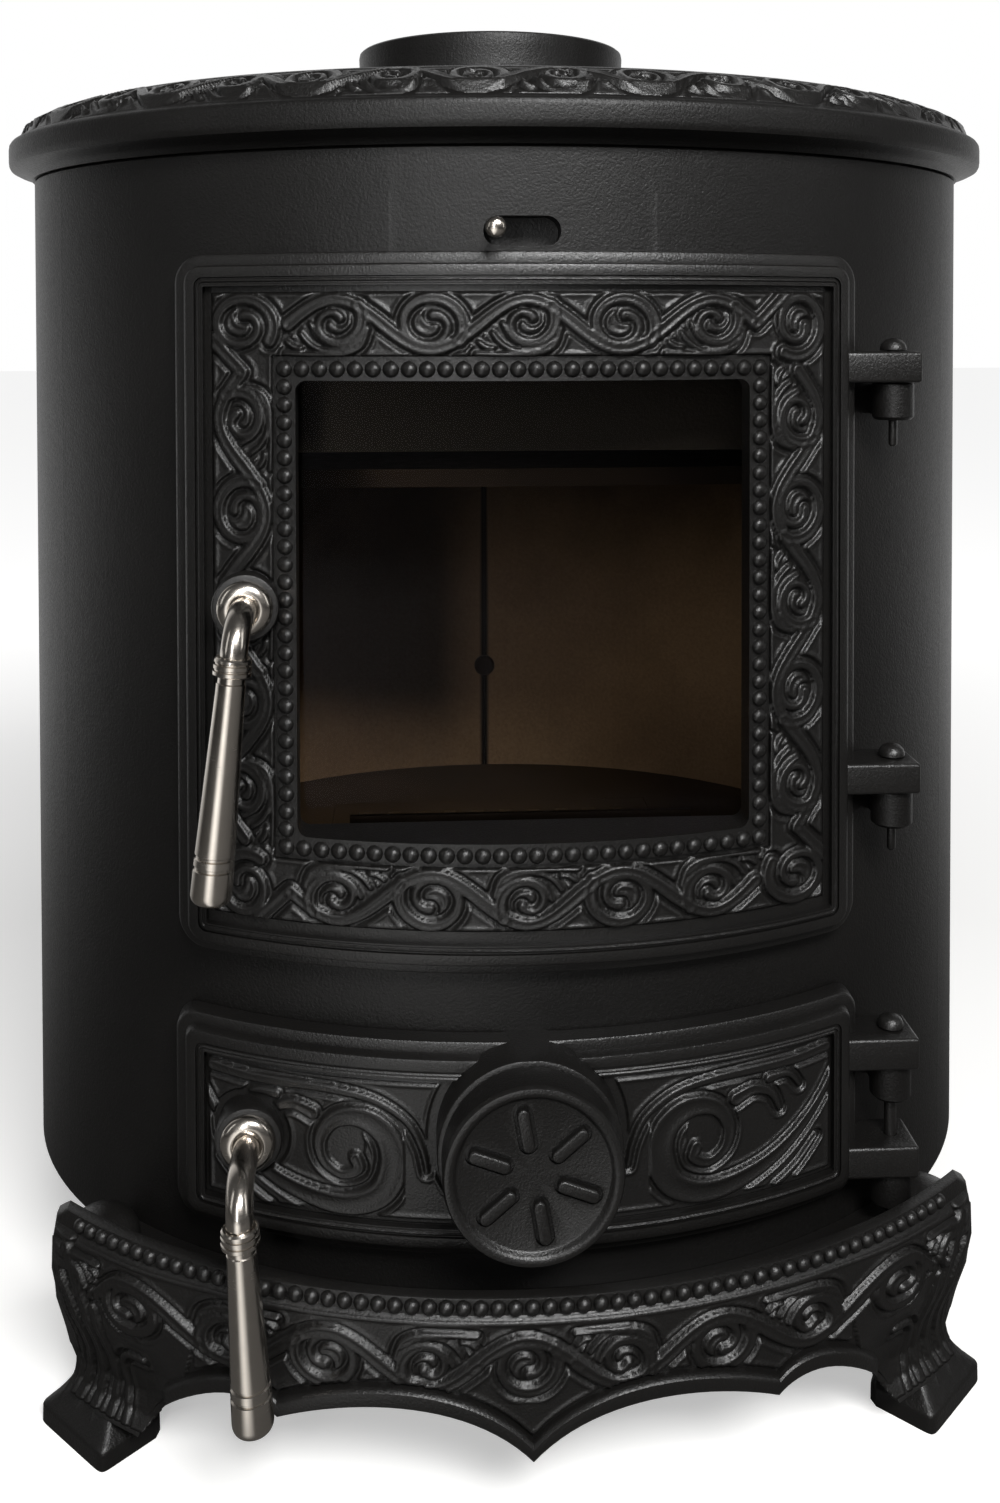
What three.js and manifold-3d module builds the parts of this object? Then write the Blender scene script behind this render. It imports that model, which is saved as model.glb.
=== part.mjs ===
// A cast-iron room stove: oval drum body, framed glass fire door, ash door with a screw
// air wheel, ornamented top plate and a footed skirt. Millimetres, +Z up, front faces -Y.
import * as THREE from 'three';
import { mergeVertices } from 'three/addons/utils/BufferGeometryUtils.js';
import Module from 'manifold-3d';

const wasm = await Module();
wasm.setup();

// ---- general fits ----
const seat = 0.3; // gap left between pieces that touch
const running = 0.5; // radial play round anything that turns or slides
const through = 40; // how far a cutter runs past what it cuts
const facet = 6; // degrees of the drum's plan in one flat facet
const cornerSegments = 3;
const roundSegments = 14;
const boreSegments = 10;
const wideSegments = 32;
const scallopSegments = 7;

// ---- drum ----
const drumHalfWidth = 219;
const drumHalfDepth = 185;
const wall = 7;
const drumBottom = 62;
const drumTop = 500;
const rearAngle = 180;
const seamAngle = 60; // front and rear castings meet here, measured from the front
const innerLedgeDepth = 7;
const innerLedgeThickness = 6;
const floorThickness = 7;
const hearthBottom = 164;
const hearthThickness = 8;
const hearthHoleHalfWidth = 80;
const hearthHoleFront = -65;
const hearthHoleRear = 75;
const grateLip = 5;
const grateThickness = 5;
const grateBarPitch = 15;
const grateSlotWidth = 7;

// ---- doors, measured as offsets out from the drum's face ----
const doorBack = 1.2;
const ledgeFront = 9;
const rimFront = 13.5;
const fieldFront = 10.5;
const ledgeWidth = 4.5;
const rimWidth = 7.5;
const sealWidth = 5.5;
const sealGrooveDepth = 3;
const shutGap = 0.3; // between the drum and a closed door's rope

const fireDoor = { halfWidth: 132, bottom: 196, top: 460.5, corner: 11 };
const fireSealInset = { side: 5.5, end: 7 };
const ashDoor = { halfWidth: 133.4, bottom: 91.8, top: 171, corner: 9 };
const ashSealInset = { side: 6, end: 2.2 };
const openingLip = 4.5; // drum metal between the rope and the edge of the opening

// ---- window ----
const windowOpening = { halfWidth: 84.3, bottom: 245, top: 413.4, corner: 4 };
const beadOffset = 4.2; // centre line of the bead row, out from the window's edge
const beadBandWidth = 6;
const beadBandFront = 12;
const tunnelWall = 11.5;
const tunnelBack = -170;
const gasketThickness = 1.6;
const gasketWidth = 4.5;
const glassLap = 5.5;
const glassThickness = 4;
const retainerThickness = 2;
const retainerHalfWidth = 66;
const retainerReach = 9;
const retainerScrewX = 55;
const screwRadius = 1.6;
const screwHeadRadius = 3.4;
const screwHeadHeight = 2.4;
const screwLength = 7;
const screwEdge = 3; // screw centre in from the outside of the window surround

// ---- hinges ----
const hingeX = 148.3;
const hingeY = -154;
const lugFront = -165;
const lugRear = -146;
const lugOverhang = 8.4;
const lugRoot = 8; // how far a lug runs into the door's edge
const pinRadius = 2.4;
const pinHeadRadius = 5.2;
const pinHeadHeight = 5;
const pinTailRadius = 1.7;
const knuckleRadius = 8.1;
const knuckleHeight = 14.6;
const fireLugHeight = 12;
const ashLugHeight = 12.5;
const fireLugs = [250, 411];
const ashLugs = [97.8, 140.8];
const firePinDrop = 10.5; // tail shown below the lowest knuckle
const ashPinDrop = 6.5;

// ---- handles ----
const rodRadius = 4.9;
const elbowRadius = 13;
const spindleRadius = 3.6;
const bossRadius = 12.5;
const bossFront = -184.5;
const bossRear = -160;
const rosetteRadius = 10.3;
const rosetteThickness = 4.2;
const tongueLength = 20;
const tongueWidth = 10;
const tongueThickness = 5;
const tongueFront = -138.2;
const nutRadius = 6.4;
const nutThickness = 4;
const fireHandle = { x: -103, z: 330, gripY: -208, ferrule: 16, gripTop: 21.5, gripEnd: 100, lean: 5.7 };
const ashHandle = { x: -103, z: 132, gripY: -217, ferrule: 15, gripTop: 20.5, gripEnd: 84, lean: -3.5 };
const ferruleRadius = 6.9;
const ferruleHeight = 6.5;
const gripTopRadius = 5.3;
const gripEndRadius = 7.4;
const gripDome = 7;
const grooveDepth = 0.6;
const grooveWidth = 1.1;
const grooveRise = 13; // lowest groove above the grip's end
const groovePitch = 4;

// ---- air wheel ----
const wheelZ = 138;
const wheelRadius = 32;
const wheelFront = -225;
const wheelBack = -209.6;
const wheelRim = 3.6;
const wheelRecess = 2.4;
const wheelRibCount = 6;
const wheelRibLength = 15;
const wheelRibRadius = 2.1;
const wheelRibInner = 9;
const wheelRibTwist = -10; // degrees from upright
const seatRingRadius = 33.6;
const seatRingWall = 5;
const seatRingFront = -209.1;
const spokeWidth = 7;
const spokeCount = 3;
const hubRadius = 9;
const hubFront = -191;
const stemRadius = 4;
const bushRadius = 8;
const bushBoreRadius = bushRadius + seat * 2; // clears the bush's facets as the wheel turns
const bushBack = -192;
const stemFront = -206.8;
const bushFront = -219;

// ---- secondary air slide ----
const slotLeft = -15.2;
const slotRight = 13.6;
const slotBottom = 462.8;
const slotTop = 473.9;
const slidePadHalfWidth = 50;
const slidePadMargin = 9;
const slidePadRear = -172;
const slideThickness = 2;
const slideLap = 2.5;
const slideRailReach = 3;
const slideRailThickness = 2.4;
const slideRailWeb = 4;
const slideKnobX = -11.6;
const slideKnobRadius = 3.1;
const slideKnobLength = 6;
const slideKnobFront = -207.5;
const slideShankRadius = 1.7;

// ---- inside ----
const lintelBottom = 384;
const lintelTop = 488;
const lintelFront = -147;
const lintelThickness = 5;
const lintelHalfWidth = 118;
const brickBack = 15.6; // behind the drum's face, leaves room for the tie rods
const brickThickness = 22;
const brickTop = 362;
const sideBrickFrontAngle = 54;
const sideBrickRearAngle = 121;
const baffleThickness = 8;
const baffleFront = -62;
const baffleFrontBow = 14;
const brickBoltRadius = 6;
const brickBoltHead = 4;
const brickBoltZ = 232;
const fenceBack = 22;
const fenceThickness = 6;
const fenceHalfAngle = 26;
const fenceHeight = 34;
const rodOffset = 12.4;
const rodAngle = 110;
const tieRodRadius = 2.6;
const tieRodNutRadius = 5;
const tieRodNutHeight = 4.5;
const rodSocketDepth = 6;
const pan = { halfWidth: 100, front: -124, rear: 72, height: 40, wall: 1.5 };
const panHandleWidth = 60;
const panHandleReach = 9;

// ---- top plate and flue ----
const rimOffset = 11.2;
const rimBottom = 505;
const rimTop = 516.5;
const coveOffset = 1;
const shoulderOffset = 9.6;
const crestOffset = -22;
const crestTop = 532;
const deckOffset = -34;
const deckTop = 526.5;
const flueY = 60;
const flueRadius = 62.5;
const flueWall = 7;
const flueTop = 577;
const flueLandHeight = 1; // raised seat under the collar
const flueLandMargin = 1.5;
const flueSeat = deckTop + flueLandHeight + seat;
const flueFlangeRadius = 52;
const flueFlangeThickness = 6;
const flueBoltRadius = 3;
const flueBoltHeadRadius = 4.4;
const flueBoltHeadHeight = 3.6;
const flueBoltDepth = 10;

// ---- skirt and legs ----
const skirtTop = 90.5;
const skirtBack = 26.5;
const skirtFace = 31;
const skirtHalfAngle = 47;
const skirtLipFront = 35.5;
const skirtLipHeight = 7;
const skirtLipEnd = 6; // degrees between the lip's end and the skirt's
const deckRise = 68;
const deckThickness = 5;
const flangeBack = -22;
const flangeThickness = 7;
const skirtApexZ = 33.5;
const skirtCuspX = 91;
const skirtCuspZ = 43;
const centreArch = 56.5;
const sideArch = 54;
const apexReach = 22; // how far the middle point's curve runs level
const cuspReach = 31;
const sideReach = 9;
const endReach = 21;
const skirtEndZ = 14;
const legInsetX = 54; // leg's centre in from the drum's side
const legInsetY = 38; // leg's centre in from the drum's front
const legX = drumHalfWidth - legInsetX;
const legY = drumHalfDepth - legInsetY;
const archToLeg = 19;
const skirtEndX = legX - archToLeg;
const footHalfWidth = 21.5;
const footHeight = 7;
const ankleHalfWidth = 12.5;
const ankleZ = 27;
const kneeHalfWidth = 17;
const kneeZ = 62;
const legTopHalfWidth = 9;
const legTop = 87;
const footReach = 14.5;
const ankleReach = 4.5;
const kneeReach = 13;
const legBack = -14;
const bracketBack = -46;

const radians = THREE.MathUtils.degToRad;

// ---- materials ----
function metal(colour, roughness, metalness) {
  return new THREE.MeshStandardMaterial({ color: colour, roughness, metalness });
}
const castIron = metal(0x2c2a29, 0.6, 0.6);
const steel = metal(0xb9b6b0, 0.3, 1);
const darkSteel = metal(0x3a3938, 0.5, 0.9);
const glassMaterial = metal(0x30302e, 0.05, 0);
glassMaterial.transparent = true;
glassMaterial.opacity = 0.35;
const rope = metal(0x8c877c, 0.95, 0);
const brick = metal(0x9c8464, 0.9, 0);

// ---- solids ----
// Turns a closed three.js geometry into a solid that can be joined and cut.
function solid(geometry) {
  const bare = geometry.index ? geometry.toNonIndexed() : geometry.clone();
  bare.deleteAttribute('normal');
  bare.deleteAttribute('uv');
  const welded = mergeVertices(bare, 1e-4);
  const source = welded.index.array;
  const kept = [];
  for (let i = 0; i < source.length; i += 3) {
    const [a, b, c] = [source[i], source[i + 1], source[i + 2]];
    if (a !== b && b !== c && c !== a) kept.push(a, b, c);
  }
  return new wasm.Manifold(new wasm.Mesh({
    numProp: 3,
    vertProperties: new Float32Array(welded.attributes.position.array),
    triVerts: new Uint32Array(kept),
  }));
}

function joined(...bodies) {
  return bodies.reduce((whole, body) => whole.add(body));
}

function piece(name, body, material) {
  const data = body.getMesh();
  const geometry = new THREE.BufferGeometry();
  geometry.setAttribute('position', new THREE.BufferAttribute(data.vertProperties, 3));
  geometry.setIndex(new THREE.BufferAttribute(data.triVerts, 1));
  geometry.computeVertexNormals();
  const mesh = new THREE.Mesh(geometry, material);
  mesh.name = name;
  return mesh;
}

// A point of the drum's oval plan, moved out along the wall's normal. Angle 0 is the front.
function planPoint(angle, offset) {
  const x = drumHalfWidth * Math.sin(radians(angle));
  const y = -drumHalfDepth * Math.cos(radians(angle));
  const normal = new THREE.Vector2(x / drumHalfWidth ** 2, y / drumHalfDepth ** 2).normalize();
  return new THREE.Vector2(x + offset * normal.x, y + offset * normal.y);
}

function planArc(offset, from, to) {
  const count = Math.max(1, Math.round(Math.abs(to - from) / facet));
  return Array.from({ length: count + 1 }, (_, i) => planPoint(from + (to - from) * i / count, offset));
}

// A curved slab that follows the drum between two offsets.
function slab(inner, outer, from, to, bottom, top) {
  const shape = new THREE.Shape([...planArc(outer, from, to), ...planArc(inner, to, from)]);
  const geometry = new THREE.ExtrudeGeometry(shape, { depth: top - bottom, bevelEnabled: false });
  return solid(geometry.translate(0, 0, bottom));
}

// The whole oval plan at one offset, as a plate.
function ovalPlate(offset, bottom, top) {
  const shape = new THREE.Shape(planArc(offset, 0, 360).slice(0, -1));
  const geometry = new THREE.ExtrudeGeometry(shape, { depth: top - bottom, bevelEnabled: false });
  return solid(geometry.translate(0, 0, bottom));
}

// A solid whose outline, seen from above, is the drum's oval at the offset each height gives.
function ovalLoft(profile) {
  const rings = profile.map(([offset, z]) => planArc(offset, 0, 360).slice(0, -1)
    .map((p) => new THREE.Vector3(p.x, p.y, z)));
  const count = rings[0].length;
  const corners = [];
  for (let i = 0; i < count; i += 1) {
    const next = (i + 1) % count;
    const foot = new THREE.Vector3(0, 0, profile[0][1]);
    const head = new THREE.Vector3(0, 0, profile[profile.length - 1][1]);
    corners.push(foot, rings[0][next], rings[0][i]);
    for (let k = 0; k + 1 < rings.length; k += 1) {
      corners.push(rings[k][i], rings[k][next], rings[k + 1][next]);
      corners.push(rings[k][i], rings[k + 1][next], rings[k + 1][i]);
    }
    corners.push(head, rings[rings.length - 1][i], rings[rings.length - 1][next]);
  }
  return solid(new THREE.BufferGeometry().setFromPoints(corners));
}

// An outline drawn as seen from the front (x, z), pulled from back to front.
function frontPrism(shape, front, back, curveSegments = cornerSegments) {
  const settings = { depth: back - front, bevelEnabled: false, curveSegments };
  const geometry = new THREE.ExtrudeGeometry(shape, settings);
  return solid(geometry.rotateX(Math.PI / 2).translate(0, back, 0));
}

function roundedShape({ halfWidth, bottom, top, corner }, inset = 0, endInset = inset) {
  const x = halfWidth - inset;
  const low = bottom + endInset;
  const high = top - endInset;
  const r = Math.max(corner - inset, 1);
  const shape = new THREE.Shape();
  shape.moveTo(-x + r, low);
  shape.absarc(x - r, low + r, r, -Math.PI / 2, 0, false);
  shape.absarc(x - r, high - r, r, 0, Math.PI / 2, false);
  shape.absarc(-x + r, high - r, r, Math.PI / 2, Math.PI, false);
  shape.absarc(-x + r, low + r, r, Math.PI, Math.PI * 1.5, false);
  return shape;
}

function box(x0, x1, y0, y1, z0, z1) {
  const geometry = new THREE.BoxGeometry(x1 - x0, y1 - y0, z1 - z0);
  return solid(geometry.translate((x0 + x1) / 2, (y0 + y1) / 2, (z0 + z1) / 2));
}

function barAlongY(radius, x, z, front, back, segments = roundSegments) {
  const geometry = new THREE.CylinderGeometry(radius, radius, back - front, segments);
  return solid(geometry.translate(x, (front + back) / 2, z));
}

function barAlongZ(radius, x, y, bottom, top, segments = roundSegments) {
  const geometry = new THREE.CylinderGeometry(radius, radius, top - bottom, segments);
  return solid(geometry.rotateX(Math.PI / 2).translate(x, y, (bottom + top) / 2));
}

// A revolved body on an upright axis; the profile is [radius, height] from foot to head.
function turned(profile, x, y, segments = roundSegments) {
  const points = profile.map(([r, z]) => new THREE.Vector2(r, z));
  const geometry = new THREE.LatheGeometry(points, segments).rotateX(Math.PI / 2);
  return solid(geometry.translate(x, y, 0));
}

// The same on an axis that runs front to back; the profile is [radius, y] from front to back.
function turnedAlongY(profile, x, z, segments = roundSegments) {
  const points = profile.map(([r, y]) => new THREE.Vector2(r, y));
  const geometry = new THREE.LatheGeometry(points, segments);
  return solid(geometry.translate(x, 0, z));
}

// ---- openings that the doors, ropes and drum share ----
function doorOpening(door, inset) {
  const edge = {
    halfWidth: door.halfWidth - inset.side - sealWidth - openingLip,
    bottom: door.bottom + inset.end + sealWidth + openingLip - doorBack,
    top: door.top - inset.end - sealWidth - openingLip + doorBack,
    corner: door.corner / 2,
  };
  return edge;
}
const fireOpening = doorOpening(fireDoor, fireSealInset);
const ashOpening = doorOpening(ashDoor, ashSealInset);

function ropeRing(door, inset, play, inner, outer) {
  const outline = roundedShape(door, inset.side + play, inset.end + play);
  const cutout = roundedShape(door, inset.side + sealWidth - play, inset.end + sealWidth - play);
  const ring = frontPrism(outline, -through * 6, 0).subtract(frontPrism(cutout, -through * 6, 0));
  return ring.intersect(slab(inner, outer, -seamAngle, seamAngle, door.bottom, door.top));
}

// ---- drum ----
function slotShape(play) {
  const r = (slotTop - slotBottom) / 2 - 1 + play;
  return roundedShape({
    halfWidth: (slotRight - slotLeft) / 2 + play,
    bottom: slotBottom - play,
    top: slotTop + play,
    corner: r,
  });
}
const slotCentre = (slotLeft + slotRight) / 2;
const floorBottom = ashOpening.bottom - floorThickness;

function knuckle(top) {
  const bottom = top - knuckleHeight;
  const web = box(hingeX - knuckleRadius, hingeX + knuckleRadius, hingeY, hingeY + through, bottom, top);
  const reach = web.intersect(slab(-wall / 2, through, 0, seamAngle, bottom - 1, top + 1));
  return joined(barAlongZ(knuckleRadius, hingeX, hingeY, bottom, top), reach);
}

function hingeBore(radius) {
  return barAlongZ(radius, hingeX, hingeY, drumBottom, drumTop, boreSegments);
}

function frontShell() {
  let body = slab(-wall, 0, -seamAngle, seamAngle, drumBottom, drumTop);
  const ledge = slab(-wall - innerLedgeDepth, -wall / 2, -seamAngle, seamAngle,
    floorBottom - seat - innerLedgeThickness, floorBottom - seat);
  const pad = box(-slidePadHalfWidth, slidePadHalfWidth, slidePadRear - through / 4, slidePadRear,
    slotBottom - slidePadMargin, slotTop + slidePadMargin);
  const padInside = pad.intersect(
    ovalPlate(-wall / 2, slotBottom - slidePadMargin, slotTop + slidePadMargin));
  body = joined(body, ledge, padInside);
  for (const bottom of [...fireLugs, ...ashLugs]) body = body.add(knuckle(bottom - seat));
  body = body.subtract(hingeBore(pinRadius + running / 2));
  body = body.subtract(frontPrism(roundedShape(fireOpening), -through * 6, -through * 2));
  body = body.subtract(frontPrism(roundedShape(ashOpening), -through * 6, -through * 2));
  return body.subtract(frontPrism(slotShape(0), -through * 6, -through * 2).translate([slotCentre, 0, 0]));
}

function rearShell() {
  const play = seat / 3; // degrees, about a third of a millimetre at the seam
  const from = seamAngle + play;
  const to = 360 - seamAngle - play;
  const ledge = slab(-wall - innerLedgeDepth, -wall / 2, from, to,
    floorBottom - seat - innerLedgeThickness, floorBottom - seat);
  return slab(-wall, 0, from, to, drumBottom, drumTop).add(ledge.subtract(rodHoles(0, drumTop)));
}

const rodPlaces = [-1, 1].map((side) => planPoint(side * rodAngle, -rodOffset));

function rodHoles(bottom, top) {
  const radius = tieRodRadius + running;
  return joined(...rodPlaces.map((p) => barAlongZ(radius, p.x, p.y, bottom, top, boreSegments)));
}

function floorPlate() {
  const plate = ovalPlate(-wall - seat, floorBottom, floorBottom + floorThickness);
  return plate.subtract(rodHoles(0, drumTop));
}

function hearthPlate() {
  const hole = box(-hearthHoleHalfWidth, hearthHoleHalfWidth, hearthHoleFront, hearthHoleRear, 0, drumTop);
  const rebate = box(-hearthHoleHalfWidth - grateLip, hearthHoleHalfWidth + grateLip,
    hearthHoleFront - grateLip, hearthHoleRear + grateLip,
    hearthBottom + hearthThickness - grateThickness, drumTop);
  const plate = ovalPlate(-wall - seat, hearthBottom, hearthBottom + hearthThickness);
  return plate.subtract(hole).subtract(rebate).subtract(rodHoles(0, drumTop));
}

function grate() {
  const top = hearthBottom + hearthThickness;
  const halfWidth = hearthHoleHalfWidth + grateLip - seat;
  const front = hearthHoleFront - grateLip + seat;
  const rear = hearthHoleRear + grateLip - seat;
  let body = box(-halfWidth, halfWidth, front, rear, top - grateThickness + seat, top);
  const slotCount = Math.floor((hearthHoleHalfWidth * 2 - grateSlotWidth) / grateBarPitch);
  for (let i = 0; i < slotCount; i += 1) {
    const x = (i - (slotCount - 1) / 2) * grateBarPitch;
    for (const [y0, y1] of [[front + grateBarPitch, -grateLip / 2], [grateLip / 2, rear - grateBarPitch]]) {
      const cut = box(x - grateSlotWidth / 2, x + grateSlotWidth / 2, y0, y1, 0, drumTop);
      body = body.subtract(cut);
    }
  }
  return body;
}

function sideBrick(side) {
  const ends = [side * sideBrickFrontAngle, side * sideBrickRearAngle];
  return slab(-brickBack - brickThickness, -brickBack, Math.min(...ends), Math.max(...ends),
    hearthBottom + hearthThickness + seat, brickTop);
}

function rearBrick(side) {
  const play = seat / 3;
  const ends = side > 0
    ? [sideBrickRearAngle + play, rearAngle - play / 2]
    : [rearAngle + play / 2, 2 * rearAngle - sideBrickRearAngle - play];
  const body = slab(-brickBack - brickThickness, -brickBack, ends[0], ends[1],
    hearthBottom + hearthThickness + seat, brickTop);
  return body.subtract(barAlongY(brickBoltRadius / 2 + running, 0, brickBoltZ, 0, drumHalfDepth * 2));
}

function brickBolt() {
  const face = drumHalfDepth - brickBack - brickThickness;
  return turnedAlongY([
    [0, face - brickBoltHead - seat], [brickBoltRadius * 0.8, face - brickBoltHead - seat],
    [brickBoltRadius, face - brickBoltHead * 0.6], [brickBoltRadius, face - seat],
    [brickBoltRadius / 2, face - seat], [brickBoltRadius / 2, drumHalfDepth - wall - seat],
    [0, drumHalfDepth - wall - seat],
  ], 0, brickBoltZ);
}

function bafflePlate() {
  const oval = ovalPlate(-brickBack, brickTop + seat, brickTop + seat + baffleThickness);
  const shape = new THREE.Shape();
  shape.moveTo(-drumHalfWidth, baffleFront);
  shape.quadraticCurveTo(0, baffleFront - baffleFrontBow * 2, drumHalfWidth, baffleFront);
  shape.lineTo(drumHalfWidth, drumHalfDepth);
  shape.lineTo(-drumHalfWidth, drumHalfDepth);
  const settings = { depth: drumTop, bevelEnabled: false, curveSegments: 12 };
  return oval.intersect(solid(new THREE.ExtrudeGeometry(shape, settings)));
}

function lintel() {
  const plate = box(-lintelHalfWidth, lintelHalfWidth, lintelFront, lintelFront + lintelThickness,
    lintelBottom, lintelTop);
  const flange = box(-lintelHalfWidth, lintelHalfWidth, -drumHalfDepth, lintelFront + lintelThickness,
    lintelTop - lintelThickness, lintelTop);
  return joined(plate, flange).intersect(ovalPlate(-wall - seat, lintelBottom, lintelTop));
}

function fireFence() {
  const bottom = hearthBottom + hearthThickness + seat;
  const fence = slab(-fenceBack - fenceThickness, -fenceBack, -fenceHalfAngle, fenceHalfAngle,
    bottom, bottom + fenceHeight);
  const foot = slab(-fenceBack - fenceThickness * 3, -fenceBack, -fenceHalfAngle, fenceHalfAngle,
    bottom, bottom + fenceThickness / 2);
  return fence.add(foot);
}

const tieRodNutTop = floorBottom - seat - innerLedgeThickness - seat;

function tieRod(place) {
  return barAlongZ(tieRodRadius, place.x, place.y, tieRodNutTop - tieRodNutHeight * 1.5,
    drumTop + seat + rodSocketDepth - running, boreSegments);
}

function tieRodNut(place) {
  return barAlongZ(tieRodNutRadius, place.x, place.y, tieRodNutTop - tieRodNutHeight, tieRodNutTop, 6)
    .subtract(barAlongZ(tieRodRadius + seat / 2, place.x, place.y, 0, drumTop, boreSegments));
}

function ashPan() {
  const bottom = floorBottom + floorThickness + seat;
  const outer = box(-pan.halfWidth, pan.halfWidth, pan.front, pan.rear, bottom, bottom + pan.height);
  const inner = box(-pan.halfWidth + pan.wall, pan.halfWidth - pan.wall,
    pan.front + pan.wall, pan.rear - pan.wall, bottom + pan.wall, drumTop);
  const grip = box(-panHandleWidth / 2, panHandleWidth / 2, pan.front - panHandleReach, pan.front + pan.wall,
    bottom + pan.height * 0.6, bottom + pan.height * 0.6 + pan.wall * 2);
  return outer.subtract(inner).add(grip);
}

// ---- doors ----
function doorLug(door, bottom, height) {
  const bar = box(door.halfWidth - lugRoot, hingeX + lugOverhang, lugFront, lugRear, bottom, bottom + height);
  return bar.intersect(slab(doorBack, through, 0, seamAngle, bottom - 1, bottom + height + 1));
}

function framedPlate(door) {
  const reach = [-seamAngle, seamAngle, door.bottom - 1, door.top + 1];
  const back = -through * 6;
  const ledge = frontPrism(roundedShape(door), back, 0).intersect(slab(doorBack, ledgeFront, ...reach));
  const rim = frontPrism(roundedShape(door, ledgeWidth), back, 0)
    .intersect(slab(doorBack, rimFront, ...reach));
  const recess = frontPrism(roundedShape(door, ledgeWidth + rimWidth), back, 0)
    .intersect(slab(fieldFront, rimFront + 1, ...reach));
  return joined(ledge, rim).subtract(recess);
}

function ropeGroove(door, inset) {
  return ropeRing(door, inset, 0, 0, doorBack + sealGrooveDepth);
}

function handleBoss(handle) {
  return barAlongY(bossRadius, handle.x, handle.z, bossFront, bossRear);
}

function handleBore(handle) {
  return barAlongY(rodRadius + running, handle.x, handle.z, -through * 6, 0);
}

function fireDoorCasting() {
  const plate = framedPlate(fireDoor);
  const reach = [-seamAngle, seamAngle, fireDoor.bottom, fireDoor.top];
  const beadBand = frontPrism(
    roundedShape(windowOpening, -beadOffset - beadBandWidth / 2), -through * 6, 0,
  ).intersect(slab(doorBack, beadBandFront, ...reach));
  const tunnel = frontPrism(roundedShape(windowOpening, -tunnelWall), -through * 6, tunnelBack)
    .intersect(ovalPlate(fieldFront, fireDoor.bottom, fireDoor.top));
  const lugs = fireLugs.map((bottom) => doorLug(fireDoor, bottom, fireLugHeight));
  let body = joined(plate, beadBand, tunnel, handleBoss(fireHandle), ...lugs);
  body = body.subtract(frontPrism(roundedShape(windowOpening), -through * 6, 0));
  body = body.subtract(frontPrism(roundedShape(windowOpening, -tunnelWall), tunnelBack, 0));
  body = body.subtract(ropeGroove(fireDoor, fireSealInset));
  body = body.subtract(handleBore(fireHandle));
  body = body.subtract(hingeBore(pinRadius + seat / 2));
  for (const { x, z } of screwPlaces) {
    const tapped = barAlongY(screwRadius + seat / 2, x, z, tunnelBack - screwLength, 0, boreSegments);
    body = body.subtract(tapped);
  }
  return body;
}

const glassBack = tunnelBack + seat + gasketThickness + seat + glassThickness;
const screwPlaces = [-1, 1].flatMap((end) => [-1, 1].map((side) => (
  { x: side * retainerScrewX, z: retainerScrewZ(end) }
)));

function retainerScrewZ(end) {
  const edge = end > 0 ? windowOpening.top : windowOpening.bottom;
  return edge + end * (tunnelWall - screwEdge);
}

function glassGasket() {
  const outer = frontPrism(roundedShape(windowOpening, -glassLap), tunnelBack + seat,
    tunnelBack + seat + gasketThickness);
  return outer.subtract(frontPrism(roundedShape(windowOpening, gasketWidth - glassLap), -through * 6, 0));
}

function glassPane() {
  const front = tunnelBack + seat + gasketThickness + seat;
  return frontPrism(roundedShape(windowOpening, -glassLap), front, front + glassThickness);
}

// A strip that holds the pane's top or bottom edge against the gasket.
function glassRetainer(end) {
  const z = retainerScrewZ(end);
  const outer = z + end * (screwEdge - seat);
  const back = glassBack + seat + retainerThickness;
  const plateSpan = [z - end * retainerReach, outer];
  const heelSpan = [z - end * screwRadius, outer];
  const strip = (front, span) => box(
    -retainerHalfWidth, retainerHalfWidth, front, back, Math.min(...span), Math.max(...span),
  );
  let body = joined(strip(glassBack + seat, plateSpan), strip(tunnelBack + seat, heelSpan));
  for (const side of [-1, 1]) {
    const hole = barAlongY(screwRadius + seat / 2, side * retainerScrewX, z, -through * 6, 0, boreSegments);
    body = body.subtract(hole);
  }
  return body;
}

function retainerScrew({ x, z }) {
  const face = glassBack + seat + retainerThickness + seat;
  return turnedAlongY([
    [0, tunnelBack - screwLength + seat], [screwRadius, tunnelBack - screwLength + seat],
    [screwRadius, face], [screwHeadRadius, face],
    [screwHeadRadius * 0.6, face + screwHeadHeight], [0, face + screwHeadHeight],
  ], x, z, boreSegments);
}

function hingePin(lugTop, lowestKnuckle, drop) {
  const head = lugTop + seat;
  return turned([
    [0, lowestKnuckle - drop], [pinTailRadius, lowestKnuckle - drop],
    [pinTailRadius, lowestKnuckle], [pinRadius, lowestKnuckle], [pinRadius, head],
    [pinHeadRadius, head], [pinHeadRadius * 0.93, head + pinHeadHeight * 0.45],
    [pinHeadRadius * 0.6, head + pinHeadHeight * 0.85], [0, head + pinHeadHeight],
  ], hingeX, hingeY, roundSegments);
}

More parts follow.
